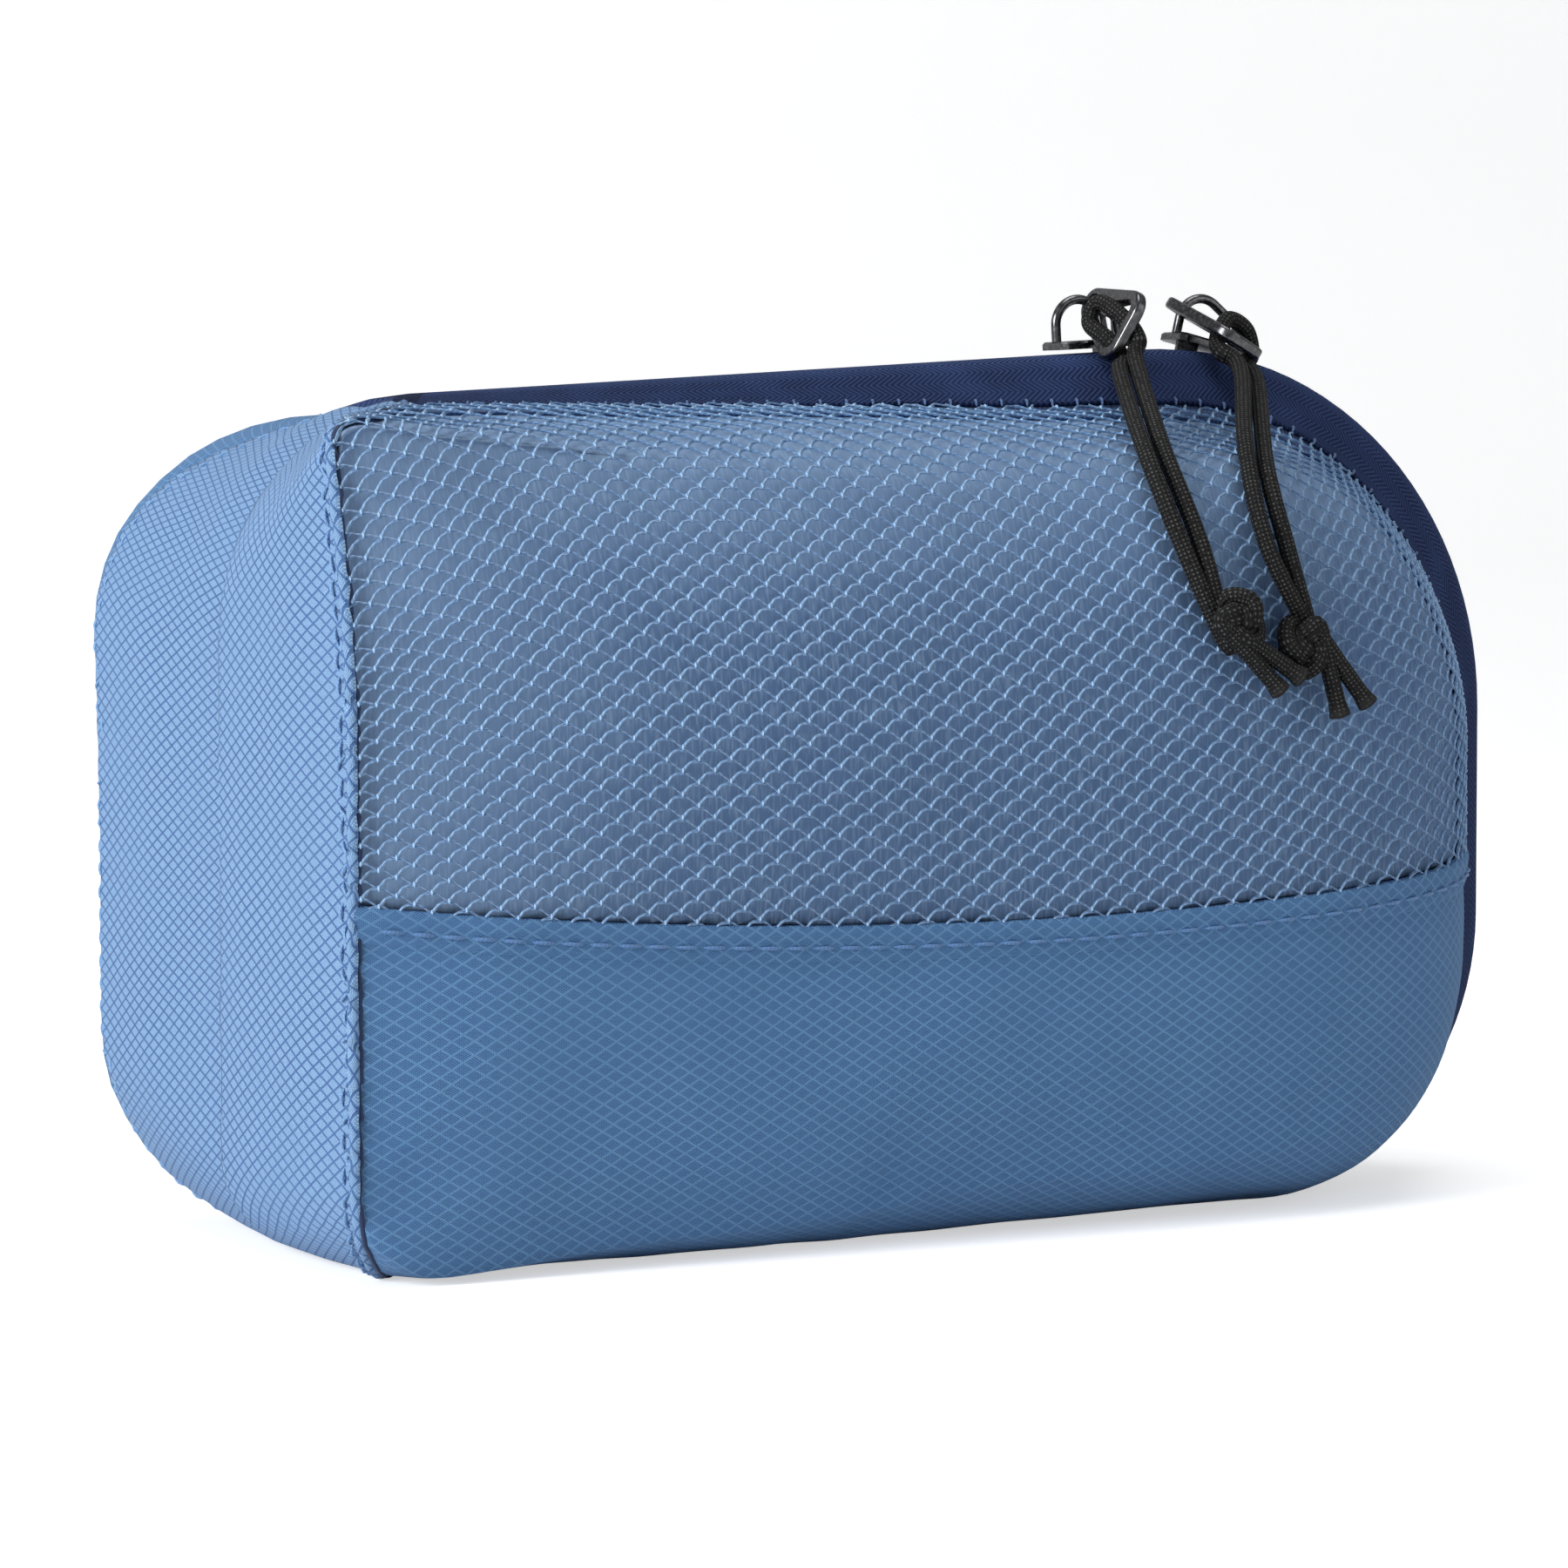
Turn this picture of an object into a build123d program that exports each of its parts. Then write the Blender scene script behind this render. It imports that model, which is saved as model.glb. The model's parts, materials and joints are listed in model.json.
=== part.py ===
from build123d import *
import os
from collections import namedtuple
from math import cos, radians, sin, tan

# A small zipped packing cube that stands on its long side. Millimetres.
# +X runs from the closed end panel to the rounded zip end, -Y is the front, +Z is up.
# The origin is on the floor below the middle of the bag.

# ---- Driving dimensions -------------------------------------------------------------
LENGTH = 184.0
HEIGHT_AT_MIDDLE = 111.5
TOP_SLOPE = 3.5
WALL = 0.8
BINDING_THICKNESS = 0.7
THREAD_THICKNESS = 0.35
THREAD_WIDTH = 0.6
HEM_FOLD_THICKNESS = 0.5
CLEARANCE = 0.2

LEFT = -LENGTH / 2
RIGHT = LENGTH / 2
TOP_RIGHT_RADIUS = 49.0
BOTTOM_RIGHT_RADIUS = 37.0
FACE_CORNER_RADIUS = 10.0
RADIUS_SHRINK = 0.5

# A station is one outline of the bag, parallel to the front. Its depth is the distance
# from the zip, and the rest say how far each side stands in from the outline at the zip.
# The end panel leans: its left inset is larger in front of the zip than behind it.
Station = namedtuple("Station", "depth left left_back right top bottom left_corners")
ZIP_LINE = Station(0.0, 0.0, 0.0, 0.0, 0.0, 0.0, 0.0)
ZIP_FLAT = Station(5.0, 0.1, -0.6, 0.5, 0.4, 0.0, 0.0)
TAPE_RIM = Station(14.0, 0.6, -1.6, 9.5, 10.5, 0.0, 0.0)
SHOULDER = Station(22.0, 1.2, -2.4, 14.0, 16.0, 2.0, 0.0)
BROW = Station(30.0, 2.3, -3.0, 22.0, 19.0, 5.0, 0.0)
END_SEAM = Station(35.2, 3.4, -3.2, 33.0, 27.0, 11.0, 0.0)
FACE = Station(38.5, 25.0, 19.0, 48.0, 46.0, 28.0, 25.0)
STATIONS = [ZIP_LINE, ZIP_FLAT, TAPE_RIM, SHOULDER, BROW, END_SEAM, FACE]

# Radii of the two left corners at the front seam, at the zip and at the back seam.
TOP_LEFT_RADII = (4.5, 31.0, 26.0)
BOTTOM_LEFT_RADII = (12.0, 13.0, 24.0)

TAPE_EDGE = 13.5
ZIP_GAP = 0.45
COIL_WIDTH = 1.2
COIL_HEIGHT = 1.2
COIL_DEPTH = WALL + 0.25
END_WRAP_X = -72.0
HEM_HEIGHT = 42.0
HEM_WIDTH = 6.0
HEM_STITCH_DROP = 2.8
HEM_END_GAP = 1.6
SEAM_ALLOWANCE = 5.0
TOPSTITCH_OFFSET = 2.0
THREAD_FLOOR_GAP = 1.5
BEYOND = 300.0

# Sliders. Their own frame has X along the zip, Z out of the bag and the origin on the tape.
LEFT_SLIDER_X = 32.0
RIGHT_SLIDER_X = 50.0
RIGHT_SLIDER_DIP = 13.5
PLATE_HALF_LENGTH = 5.4
PLATE_HALF_WIDTH = 3.2
PLATE_TAIL_HALF_WIDTH = 2.4
PLATE_BEVEL = 0.3
TOP_PLATE = (0.55, 1.65)
BOTTOM_PLATE = (-4.1, -3.2)
WEB_HALF_WIDTH = 0.3
WEB_RANGE = (1.0, 4.2)
STRAP_RADIUS = 0.65
STRAP_CORNER = (-4.6, 9.2)
STRAP_END = (4.6, 4.7)
STRAP_BENDS = (3.4, 1.2)

# Pull rings. Their own frame has X along the ring from its eye, Y across it, Z through it.
RING_THICKNESS = 1.6
RING_EDGE = 0.45
EYE_RADIUS = 1.45
EYE_OUTER_RADIUS = 2.4
RING_LENGTH = 11.5
RING_BAR = 1.8
RING_CORNER = (2.7, 2.3)
OPENING_TIP = (0.55, 3.6)
OPENING_CORNER = (1.2, 2.1)
LEFT_EYE = (1.6, 6.18)
RIGHT_EYE = (-4.41, 4.87)
LEFT_RING_ALONG = (-0.124, -0.946, -0.297)
LEFT_RING_NORMAL = (-0.908, 0.0, 0.378)
RIGHT_RING_ALONG = (0.372, -0.822, -0.435)
RIGHT_RING_NORMAL = (0.450, -0.250, 0.857)

# Cords. Each is a loop hitched round the far bar of its ring, an overhand knot and two tails.
CORD_RADIUS = 1.25
HITCH_RADIUS = 2.5
STRAND_SPACING = 1.3
KNOT_RADIUS = 3.4
TIP_RADIUS = 1.55
TIP_LENGTH = 1.0


# ---- The bag's form ------------------------------------------------------------------
def between(radii, depth):
    """Corner radius at a depth: negative depths are towards the front."""
    share = min(abs(depth) / END_SEAM.depth, 1.0)
    edge = radii[0] if depth < 0 else radii[2]
    return radii[1] + (edge - radii[1]) * share


def top_height(x):
    """Height of the top line at the zip."""
    return HEIGHT_AT_MIDDLE + x * tan(radians(TOP_SLOPE))


def corner_arc(before, corner, after, radius):
    """Start, middle and end of the arc that rounds a corner."""
    to_before = (before - corner).normalized()
    to_after = (after - corner).normalized()
    half_angle = radians(to_before.get_angle(to_after)) / 2
    reach = radius / tan(half_angle)
    bisector = (to_before + to_after).normalized()
    centre = corner + bisector * (radius / sin(half_angle))
    return corner + to_before * reach, centre - bisector * radius, corner + to_after * reach


def outline(station, side, grow=0.0):
    """Closed wire of a station: four sides and four arcs. side is -1 in front of the zip."""
    y = side * station.depth * (FACE.depth + grow) / FACE.depth
    left = LEFT + (station.left if side < 0 else station.left_back) - grow
    right = RIGHT - station.right + grow
    corners = [
        Vector(left, y, top_height(LEFT) - station.left_corners + grow),
        Vector(right, y, top_height(RIGHT) - station.top + grow),
        Vector(right, y, station.bottom - grow),
        Vector(left, y, station.left_corners - grow),
    ]
    shrink = RADIUS_SHRINK * station.right
    radii = [
        between(TOP_LEFT_RADII, side * station.depth),
        TOP_RIGHT_RADIUS - shrink,
        BOTTOM_RIGHT_RADIUS - shrink,
        between(BOTTOM_LEFT_RADII, side * station.depth),
    ]
    if station is FACE:
        radii = [FACE_CORNER_RADIUS, radii[1], radii[2], FACE_CORNER_RADIUS]
    arcs = []
    for i, radius in enumerate(radii):
        arcs.append(corner_arc(corners[i - 1], corners[i], corners[(i + 1) % 4], radius + grow))
    edges = []
    for i, arc in enumerate(arcs):
        edges.append(Edge.make_three_point_arc(*arc))
        edges.append(Edge.make_line(arc[2], arcs[(i + 1) % 4][0]))
    return Wire(edges)


def bag_form(grow=0.0):
    """The whole closed bag, with its surface moved outwards by grow."""
    front = [outline(s, -1, grow) for s in reversed(STATIONS[1:])]
    back = [outline(s, 1, grow) for s in STATIONS]
    return Part(Solid.make_loft(front + back, ruled=True).wrapped)


def layer(inside, outside):
    """The material between two grown forms."""
    return bag_form(outside) - bag_form(inside)


# ---- Zones that cut the layers into pieces -------------------------------------------
def plan_zone(points):
    """A prism with vertical sides over a plan outline."""
    face = make_face(Polyline(*points, close=True))
    return Pos(0, 0, -BEYOND / 2) * extrude(face, BEYOND)


def slab(axis, low, high):
    """Everything between two parallel planes."""
    size = [BEYOND] * 3
    centre = [0.0] * 3
    size[axis] = high - low
    centre[axis] = (low + high) / 2
    return Pos(*centre) * Box(*size)


def end_zone(inset=0.0):
    """Plan of the end panel: it reaches the zip tape over the top and under the bottom."""
    front_x = LEFT + END_SEAM.left - inset
    back_x = LEFT + END_SEAM.left_back - inset
    wrap_x = END_WRAP_X - inset
    seam_y = END_SEAM.depth
    points = [
        (-BEYOND / 2, -seam_y),
        (front_x, -seam_y),
        (wrap_x, -TAPE_EDGE),
        (wrap_x, TAPE_EDGE),
        (back_x, seam_y),
        (-BEYOND / 2, seam_y),
    ]
    return plan_zone(points)


def hem_zone():
    """In front of the rim stitching, and clear of the end panel when the flap swings."""
    front = slab(1, -BEYOND / 2, -TAPE_EDGE - THREAD_WIDTH - CLEARANCE)
    return front & slab(0, LEFT + END_SEAM.left + HEM_END_GAP, BEYOND / 2)


def build_panels():
    """The fabric panels and the two zip tapes, cut from one fabric layer."""
    fabric = layer(-WALL, 0.0)
    gusset = end_zone()
    hem_fold = layer(0.0, HEM_FOLD_THICKNESS)
    body = fabric - gusset
    front = body & slab(1, -BEYOND / 2, -TAPE_EDGE)
    hem = hem_fold & hem_zone() & slab(2, HEM_HEIGHT - HEM_WIDTH, HEM_HEIGHT)
    return {
        "end_panel": fabric & gusset,
        "front_mesh_panel": front & slab(2, HEM_HEIGHT, BEYOND / 2),
        "front_lower_panel": (front & slab(2, -BEYOND / 2, HEM_HEIGHT)) + hem,
        "back_panel": body & slab(1, TAPE_EDGE, BEYOND / 2),
        "front_zip_tape": body & slab(1, -TAPE_EDGE, -ZIP_GAP),
        "back_zip_tape": body & slab(1, ZIP_GAP, TAPE_EDGE),
    }


def build_coils():
    """Two coil halves that follow the zip line under the tapes."""
    rail = Face(outline(ZIP_LINE, 1, -COIL_DEPTH)) - Face(outline(ZIP_LINE, 1, -COIL_DEPTH - COIL_HEIGHT))
    gusset = end_zone()
    back = extrude(rail, COIL_WIDTH, dir=(0, 1, 0))
    front = extrude(rail, COIL_WIDTH, dir=(0, -1, 0))
    return {
        "front_zip_coil": Pos(0, -ZIP_GAP, 0) * front - gusset,
        "back_zip_coil": Pos(0, ZIP_GAP, 0) * back - gusset,
    }


def build_bindings():
    """Binding tapes over the raw seam edges inside the bag."""
    lining = layer(-WALL - BINDING_THICKNESS, -WALL)
    gusset = end_zone()
    low = TAPE_EDGE - SEAM_ALLOWANCE / 2
    high = TAPE_EDGE + SEAM_ALLOWANCE / 2
    past_end = lining - end_zone(-CLEARANCE)
    seam_strip = (lining & gusset) - end_zone(SEAM_ALLOWANCE)
    return {
        "front_rim_binding": past_end & slab(1, -high, -low),
        "back_rim_binding": past_end & slab(1, low, high),
        "end_front_binding": seam_strip & slab(1, -BEYOND / 2, -high),
        "end_back_binding": seam_strip & slab(1, high, BEYOND / 2),
    }


def build_threads():
    """Raised thread rows. Each row is one continuous thread."""
    thread = layer(0.0, THREAD_THICKNESS) & slab(2, THREAD_FLOOR_GAP, BEYOND / 2)
    gusset = end_zone()
    past_end = thread - gusset
    on_end = (thread & end_zone(TOPSTITCH_OFFSET)) - end_zone(TOPSTITCH_OFFSET + THREAD_WIDTH)
    rim_low = TAPE_EDGE
    rim_high = TAPE_EDGE + THREAD_WIDTH
    hem_z = HEM_HEIGHT - HEM_STITCH_DROP
    hem_row = layer(HEM_FOLD_THICKNESS, HEM_FOLD_THICKNESS + THREAD_THICKNESS) & hem_zone()
    return {
        "front_rim_stitching": past_end & slab(1, -rim_high, -rim_low),
        "back_rim_stitching": past_end & slab(1, rim_low, rim_high),
        "hem_stitching": hem_row & slab(2, hem_z, hem_z + THREAD_WIDTH),
        "end_front_topstitch": on_end & slab(1, -BEYOND / 2, -rim_high),
        "end_back_topstitch": on_end & slab(1, rim_high, BEYOND / 2),
    }


# ---- Sliders, rings and cords ----------------------------------------------------------
def crest_centre():
    """Centre of the top-right corner arc of the zip line, as x and z."""
    slope = radians(TOP_SLOPE)
    x = RIGHT - TOP_RIGHT_RADIUS
    return x, top_height(x) - TOP_RIGHT_RADIUS / cos(slope)


def slider_frame(x, tilt):
    """Plane of a slider that sits on the zip line at x, tilted up to the right."""
    centre_x, centre_z = crest_centre()
    tangent_x = centre_x - TOP_RIGHT_RADIUS * sin(radians(TOP_SLOPE))
    z = top_height(x)
    if x > tangent_x:
        z = centre_z + (TOP_RIGHT_RADIUS**2 - (x - centre_x) ** 2) ** 0.5
    turn = radians(tilt)
    return Plane(origin=(x, 0, z), x_dir=(cos(turn), 0, sin(turn)), z_dir=(-sin(turn), 0, cos(turn)))


def plate(low, high):
    """Slider plate: square shoulders at one end and a narrower tail at the other."""
    half = [
        (-PLATE_HALF_LENGTH, PLATE_HALF_WIDTH - 0.7),
        (-PLATE_HALF_LENGTH + 0.8, PLATE_HALF_WIDTH),
        (PLATE_HALF_LENGTH / 3, PLATE_HALF_WIDTH),
        (PLATE_HALF_LENGTH, PLATE_TAIL_HALF_WIDTH),
    ]
    points = half + [(x, -y) for x, y in reversed(half)]
    face = make_face(Polyline(*points, close=True))
    return Pos(0, 0, low) * extrude(face, high - low)


def build_slider_body(nose):
    """Two plates joined by a web. nose is 1 if the web is at the +X end, else -1."""
    top = plate(*TOP_PLATE)
    top = chamfer(top.faces().sort_by(Axis.Z)[-1].edges(), PLATE_BEVEL)
    bottom = plate(*BOTTOM_PLATE)
    web_length = WEB_RANGE[1] - WEB_RANGE[0]
    web_middle = nose * (WEB_RANGE[0] + WEB_RANGE[1]) / 2
    web_height = TOP_PLATE[0] - BOTTOM_PLATE[1]
    web = Box(web_length, 2 * WEB_HALF_WIDTH, web_height)
    web = Pos(web_middle, 0, (TOP_PLATE[0] + BOTTOM_PLATE[1]) / 2) * web
    return top + bottom + web


def build_strap():
    """Round strap bail that stands on the top plate."""
    foot = TOP_PLATE[1]
    corners = [
        Vector(STRAP_CORNER[0], 0, foot),
        Vector(STRAP_CORNER[0], 0, STRAP_CORNER[1]),
        Vector(STRAP_END[0], 0, STRAP_END[1]),
        Vector(STRAP_END[0], 0, foot),
    ]
    first = corner_arc(corners[0], corners[1], corners[2], STRAP_BENDS[0])
    second = corner_arc(corners[1], corners[2], corners[3], STRAP_BENDS[1])
    path = Wire(
        [
            Edge.make_line(corners[0], first[0]),
            Edge.make_three_point_arc(*first),
            Edge.make_line(first[2], second[0]),
            Edge.make_three_point_arc(*second),
            Edge.make_line(second[2], corners[3]),
        ]
    )
    start = Plane(origin=corners[0], z_dir=(0, 0, 1))
    return sweep(start * Circle(STRAP_RADIUS), path=path)


def rounded_triangle(tip, tip_x, corner, corner_x, corner_y):
    """Hull of a small circle at the tip and two circles at the far corners."""
    circles = Pos(tip_x, 0) * Circle(tip) + Pos(corner_x, corner_y) * Circle(corner)
    circles = circles + Pos(corner_x, -corner_y) * Circle(corner)
    return make_hull(circles.edges())


def build_ring():
    """Teardrop pull ring: a small eye for the strap and a large opening for the cord."""
    far = RING_LENGTH + RING_BAR / 2
    outer = rounded_triangle(EYE_OUTER_RADIUS, 0, RING_CORNER[0], far - RING_CORNER[0], RING_CORNER[1])
    near = far - RING_BAR
    opening = rounded_triangle(
        OPENING_TIP[0], OPENING_TIP[1], OPENING_CORNER[0], near - OPENING_CORNER[0], OPENING_CORNER[1]
    )
    profile = outer - opening - Circle(EYE_RADIUS)
    ring = Pos(0, 0, -RING_THICKNESS / 2) * extrude(profile, RING_THICKNESS)
    return fillet(ring.edges().filter_by(GeomType.LINE, reverse=True).filter_by(on_ring_face), RING_EDGE)


def on_ring_face(edge):
    """True for the edges that bound the ring's two flat faces."""
    return abs(abs(edge.center().Z) - RING_THICKNESS / 2) < 1e-6


def ring_plane(frame, eye, along, normal):
    """Plane of a ring whose eye is at a place in the slider's own frame."""
    origin = frame.from_local_coords(Vector(eye[0], 0, eye[1]))
    return Plane(origin=origin, x_dir=along, z_dir=normal)


def tube(points, radius):
    """Round cord through points."""
    path = Spline(*points)
    start = Plane(origin=path @ 0, z_dir=path % 0)
    return sweep(start * Circle(radius), path=path)


def build_cord(plane, strands, knot, tails):
    """Hitch, two strands, knot and two tails as one solid."""
    bar = plane.from_local_coords(Vector(RING_LENGTH, 0, 0))
    exit_way = plane.x_dir
    across = plane.y_dir
    hitch = Plane(origin=bar, x_dir=exit_way, z_dir=across) * Torus(HITCH_RADIUS, CORD_RADIUS)
    cord = hitch
    for side, points in zip((-1, 1), strands):
        start = bar + exit_way * HITCH_RADIUS + across * (side * STRAND_SPACING)
        cord = cord + tube([start] + [Vector(*p) for p in points] + [Vector(*knot)], CORD_RADIUS)
    cord = cord + Pos(*knot) * Sphere(KNOT_RADIUS)
    for points in tails:
        tail = [Vector(*knot)] + [Vector(*p) for p in points]
        cord = cord + tube(tail, CORD_RADIUS)
        way = (tail[-1] - tail[-2]).normalized()
        cord = cord + Plane(origin=tail[-1], z_dir=way) * Cylinder(TIP_RADIUS, TIP_LENGTH)
    return cord


LEFT_STRANDS = (
    [(25.6, -25.0, 106.5), (21.6, -37.5, 97.0), (24.8, -40.3, 86.0)],
    [(30.0, -24.5, 106.8), (25.4, -37.8, 97.4), (28.2, -40.6, 86.5)],
)
LEFT_KNOT = (28.2, -43.0, 78.0)
LEFT_TAILS = ([(33.0, -47.0, 73.0), (36.0, -47.3, 69.8)], [(34.5, -47.0, 75.5), (38.2, -47.3, 72.3)])
RIGHT_STRANDS = (
    [(44.4, -24.0, 104.0), (35.6, -37.0, 95.5), (37.2, -40.2, 85.0)],
    [(48.4, -23.5, 103.6), (39.4, -37.2, 95.0), (41.0, -40.4, 85.0)],
)
RIGHT_KNOT = (40.2, -42.4, 75.4)
RIGHT_TAILS = ([(42.6, -41.8, 69.5), (44.1, -41.8, 64.8)], [(45.6, -41.6, 70.8), (49.6, -41.2, 67.2)])


def build_pulls():
    """Both sliders with their straps, rings and cords."""
    left = slider_frame(LEFT_SLIDER_X, TOP_SLOPE)
    right = slider_frame(RIGHT_SLIDER_X, -RIGHT_SLIDER_DIP)
    left_ring = ring_plane(left, LEFT_EYE, LEFT_RING_ALONG, LEFT_RING_NORMAL)
    right_ring = ring_plane(right, RIGHT_EYE, RIGHT_RING_ALONG, RIGHT_RING_NORMAL)
    return {
        "left_slider_body": left * build_slider_body(1),
        "left_slider_strap": left * build_strap(),
        "left_pull_ring": left_ring * build_ring(),
        "left_pull_cord": build_cord(left_ring, LEFT_STRANDS, LEFT_KNOT, LEFT_TAILS),
        "right_slider_body": right * build_slider_body(-1),
        "right_slider_strap": right * build_strap(),
        "right_pull_ring": right_ring * build_ring(),
        "right_pull_cord": build_cord(right_ring, RIGHT_STRANDS, RIGHT_KNOT, RIGHT_TAILS),
    }


def main():
    os.makedirs("parts", exist_ok=True)
    nodes = {}
    nodes.update(build_panels())
    nodes.update(build_coils())
    nodes.update(build_bindings())
    nodes.update(build_threads())
    nodes.update(build_pulls())
    for name, shape in nodes.items():
        export_step(shape, f"parts/{name}.step")


main()
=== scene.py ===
"""Looks of a small zipped packing cube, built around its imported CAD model."""

import json
import math
from collections import namedtuple

import bmesh
import bpy
import numpy as np
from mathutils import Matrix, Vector, noise
from mathutils.bvhtree import BVHTree
from mathutils.geometry import barycentric_transform


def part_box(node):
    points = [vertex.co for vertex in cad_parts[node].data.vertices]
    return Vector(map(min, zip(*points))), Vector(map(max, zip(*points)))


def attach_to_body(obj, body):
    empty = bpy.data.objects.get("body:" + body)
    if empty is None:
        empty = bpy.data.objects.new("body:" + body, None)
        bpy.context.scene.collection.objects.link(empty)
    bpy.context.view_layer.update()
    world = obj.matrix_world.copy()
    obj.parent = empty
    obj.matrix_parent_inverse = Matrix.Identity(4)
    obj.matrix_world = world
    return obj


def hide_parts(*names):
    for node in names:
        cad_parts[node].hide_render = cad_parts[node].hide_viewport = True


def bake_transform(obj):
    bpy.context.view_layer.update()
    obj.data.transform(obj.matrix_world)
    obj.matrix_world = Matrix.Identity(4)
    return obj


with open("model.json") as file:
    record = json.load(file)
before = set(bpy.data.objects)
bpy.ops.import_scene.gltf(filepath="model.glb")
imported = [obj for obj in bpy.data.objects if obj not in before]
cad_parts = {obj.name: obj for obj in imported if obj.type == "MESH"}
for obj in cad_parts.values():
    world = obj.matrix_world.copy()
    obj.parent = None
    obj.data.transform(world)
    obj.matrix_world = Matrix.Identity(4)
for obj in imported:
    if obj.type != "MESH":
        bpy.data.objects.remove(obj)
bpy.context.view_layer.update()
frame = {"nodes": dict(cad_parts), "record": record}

# Lengths below are millimetres. Blender objects are metres, so meshes are scaled as they are made.
MM = 0.001
TINY = 1e-9


def reach(node, axis):
    """Lowest and highest coordinate of a CAD node along an axis, in millimetres."""
    low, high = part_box(node)
    return low[axis] / MM, high[axis] / MM


# ---- Sizes read from the frame -----------------------------------------------------------
END_BULGE = 3.2
LEFT = reach("end_panel", 0)[0] + END_BULGE
RIGHT = reach("back_zip_tape", 0)[1]
TAPE_EDGE = -reach("front_zip_tape", 1)[0]
ZIP_GAP = -reach("front_zip_tape", 1)[1]
ZIP_END_X = reach("front_zip_tape", 0)[0]
HEM_HEIGHT = reach("front_mesh_panel", 2)[0]

# ---- The bag's form, with the same stations as the CAD model, joined smoothly --------------
HEIGHT_AT_MIDDLE = 111.5
TOP_SLOPE = math.tan(math.radians(3.5))
TOP_RIGHT_RADIUS = 49.0
BOTTOM_RIGHT_RADIUS = 37.0
FACE_CORNER_RADIUS = 10.0
RADIUS_SHRINK = 0.5
TOP_LEFT_RADII = (4.5, 31.0, 26.0)
BOTTOM_LEFT_RADII = (12.0, 13.0, 24.0)
Station = namedtuple("Station", "depth left left_back right top bottom left_corners")
STATIONS = [
    Station(0.0, 0.0, 0.0, 0.0, 0.0, 0.0, 0.0),
    Station(5.0, 0.1, -0.6, 0.5, 0.4, 0.0, 0.0),
    Station(14.0, 0.6, -1.6, 9.5, 10.5, 0.0, 0.0),
    Station(22.0, 1.2, -2.4, 14.0, 16.0, 2.0, 0.0),
    Station(30.0, 2.3, -3.0, 22.0, 19.0, 5.0, 0.0),
    Station(35.2, 3.4, -3.2, 33.0, 27.0, 11.0, 0.0),
    Station(38.5, 25.0, 19.0, 48.0, 46.0, 28.0, 25.0),
]
SEAM = 5
SEAM_DEPTH = STATIONS[SEAM].depth
SEAM_X = LEFT + STATIONS[SEAM].left
BACK_SEAM_X = LEFT + STATIONS[SEAM].left_back
CROWN = 1.5
SIDE_STEPS = (64, 20, 64, 36)
ARC_STEPS = (26, 22, 10, 10)
ROW_STEPS = (6, 10, 8, 8, 8, 14, 10, 10)


def top_height(x):
    """Height of the top line at the zip."""
    return HEIGHT_AT_MIDDLE + x * TOP_SLOPE


def unit(v):
    """The same direction, one long."""
    return v / np.linalg.norm(v)


def distances(path):
    """How far along a path each of its points lies."""
    return np.concatenate([[0.0], np.cumsum(np.linalg.norm(np.diff(path, axis=0), axis=1))])


def quads(rows, columns):
    """Faces of a grid of points that are listed row by row."""
    first = (np.arange(rows - 1)[:, None] * columns + np.arange(columns - 1)[None]).ravel()
    return np.stack([first, first + 1, first + columns + 1, first + columns], 1)


def linked(name, data):
    """A new object in the scene."""
    made = bpy.data.objects.new(name, data)
    bpy.context.scene.collection.objects.link(made)
    return made


def station_row(station, side):
    """Depth, the four corners and their radii, from the top left and round to the bottom left."""
    share = min(station.depth / SEAM_DEPTH, 1.0)
    edge = 0 if side < 0 else 2
    top_left = TOP_LEFT_RADII[1] + (TOP_LEFT_RADII[edge] - TOP_LEFT_RADII[1]) * share
    bottom_left = BOTTOM_LEFT_RADII[1] + (BOTTOM_LEFT_RADII[edge] - BOTTOM_LEFT_RADII[1]) * share
    if station is STATIONS[-1]:
        top_left = bottom_left = FACE_CORNER_RADIUS
    left = LEFT + (station.left if side < 0 else station.left_back)
    right = RIGHT - station.right
    shrink = RADIUS_SHRINK * station.right
    corners = [
        (left, top_height(LEFT) - station.left_corners),
        (right, top_height(RIGHT) - station.top),
        (right, station.bottom),
        (left, station.left_corners),
    ]
    radii = [top_left, TOP_RIGHT_RADIUS - shrink, BOTTOM_RIGHT_RADIUS - shrink, bottom_left]
    return [station.depth] + [c for corner in corners for c in corner] + radii


def profile_rows(side):
    """Station rows, then the face's crown as smaller and smaller copies of the last outline."""
    rows = [station_row(s, side) for s in STATIONS]
    face = np.array(rows[-1])
    centre = np.tile(face[1:9].reshape(4, 2).mean(0), 4)
    for scale in (0.5, 0.01):
        row = face * scale
        row[0] = face[0] + CROWN * (1 - scale**2)
        row[1:9] = centre + (face[1:9] - centre) * scale
        rows.append(row.tolist())
    return np.array(rows)


def monotone(knots, values, query, sharp_start=False):
    """Cubic through the knots that doesn't overshoot them, level at its start unless that is sharp."""
    width = np.diff(knots)
    slope = np.diff(values) / width
    tangent = np.zeros(len(values))
    tangent[0] = slope[0] if sharp_start else 0.0
    tangent[-1] = slope[-1]
    for i in range(1, len(values) - 1):
        if slope[i - 1] * slope[i] > 0:
            tangent[i] = 2 * slope[i - 1] * slope[i] / (slope[i - 1] + slope[i])
    place = np.clip(np.searchsorted(knots, query, side="right") - 1, 0, len(width) - 1)
    h = width[place]
    t = (query - knots[place]) / h
    a = values[place]
    b = values[place + 1]
    m = tangent[place] * h
    n = tangent[place + 1] * h
    return a + m * t + (3 * (b - a) - 2 * m - n) * t**2 + (2 * (a - b) + m + n) * t**3


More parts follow.
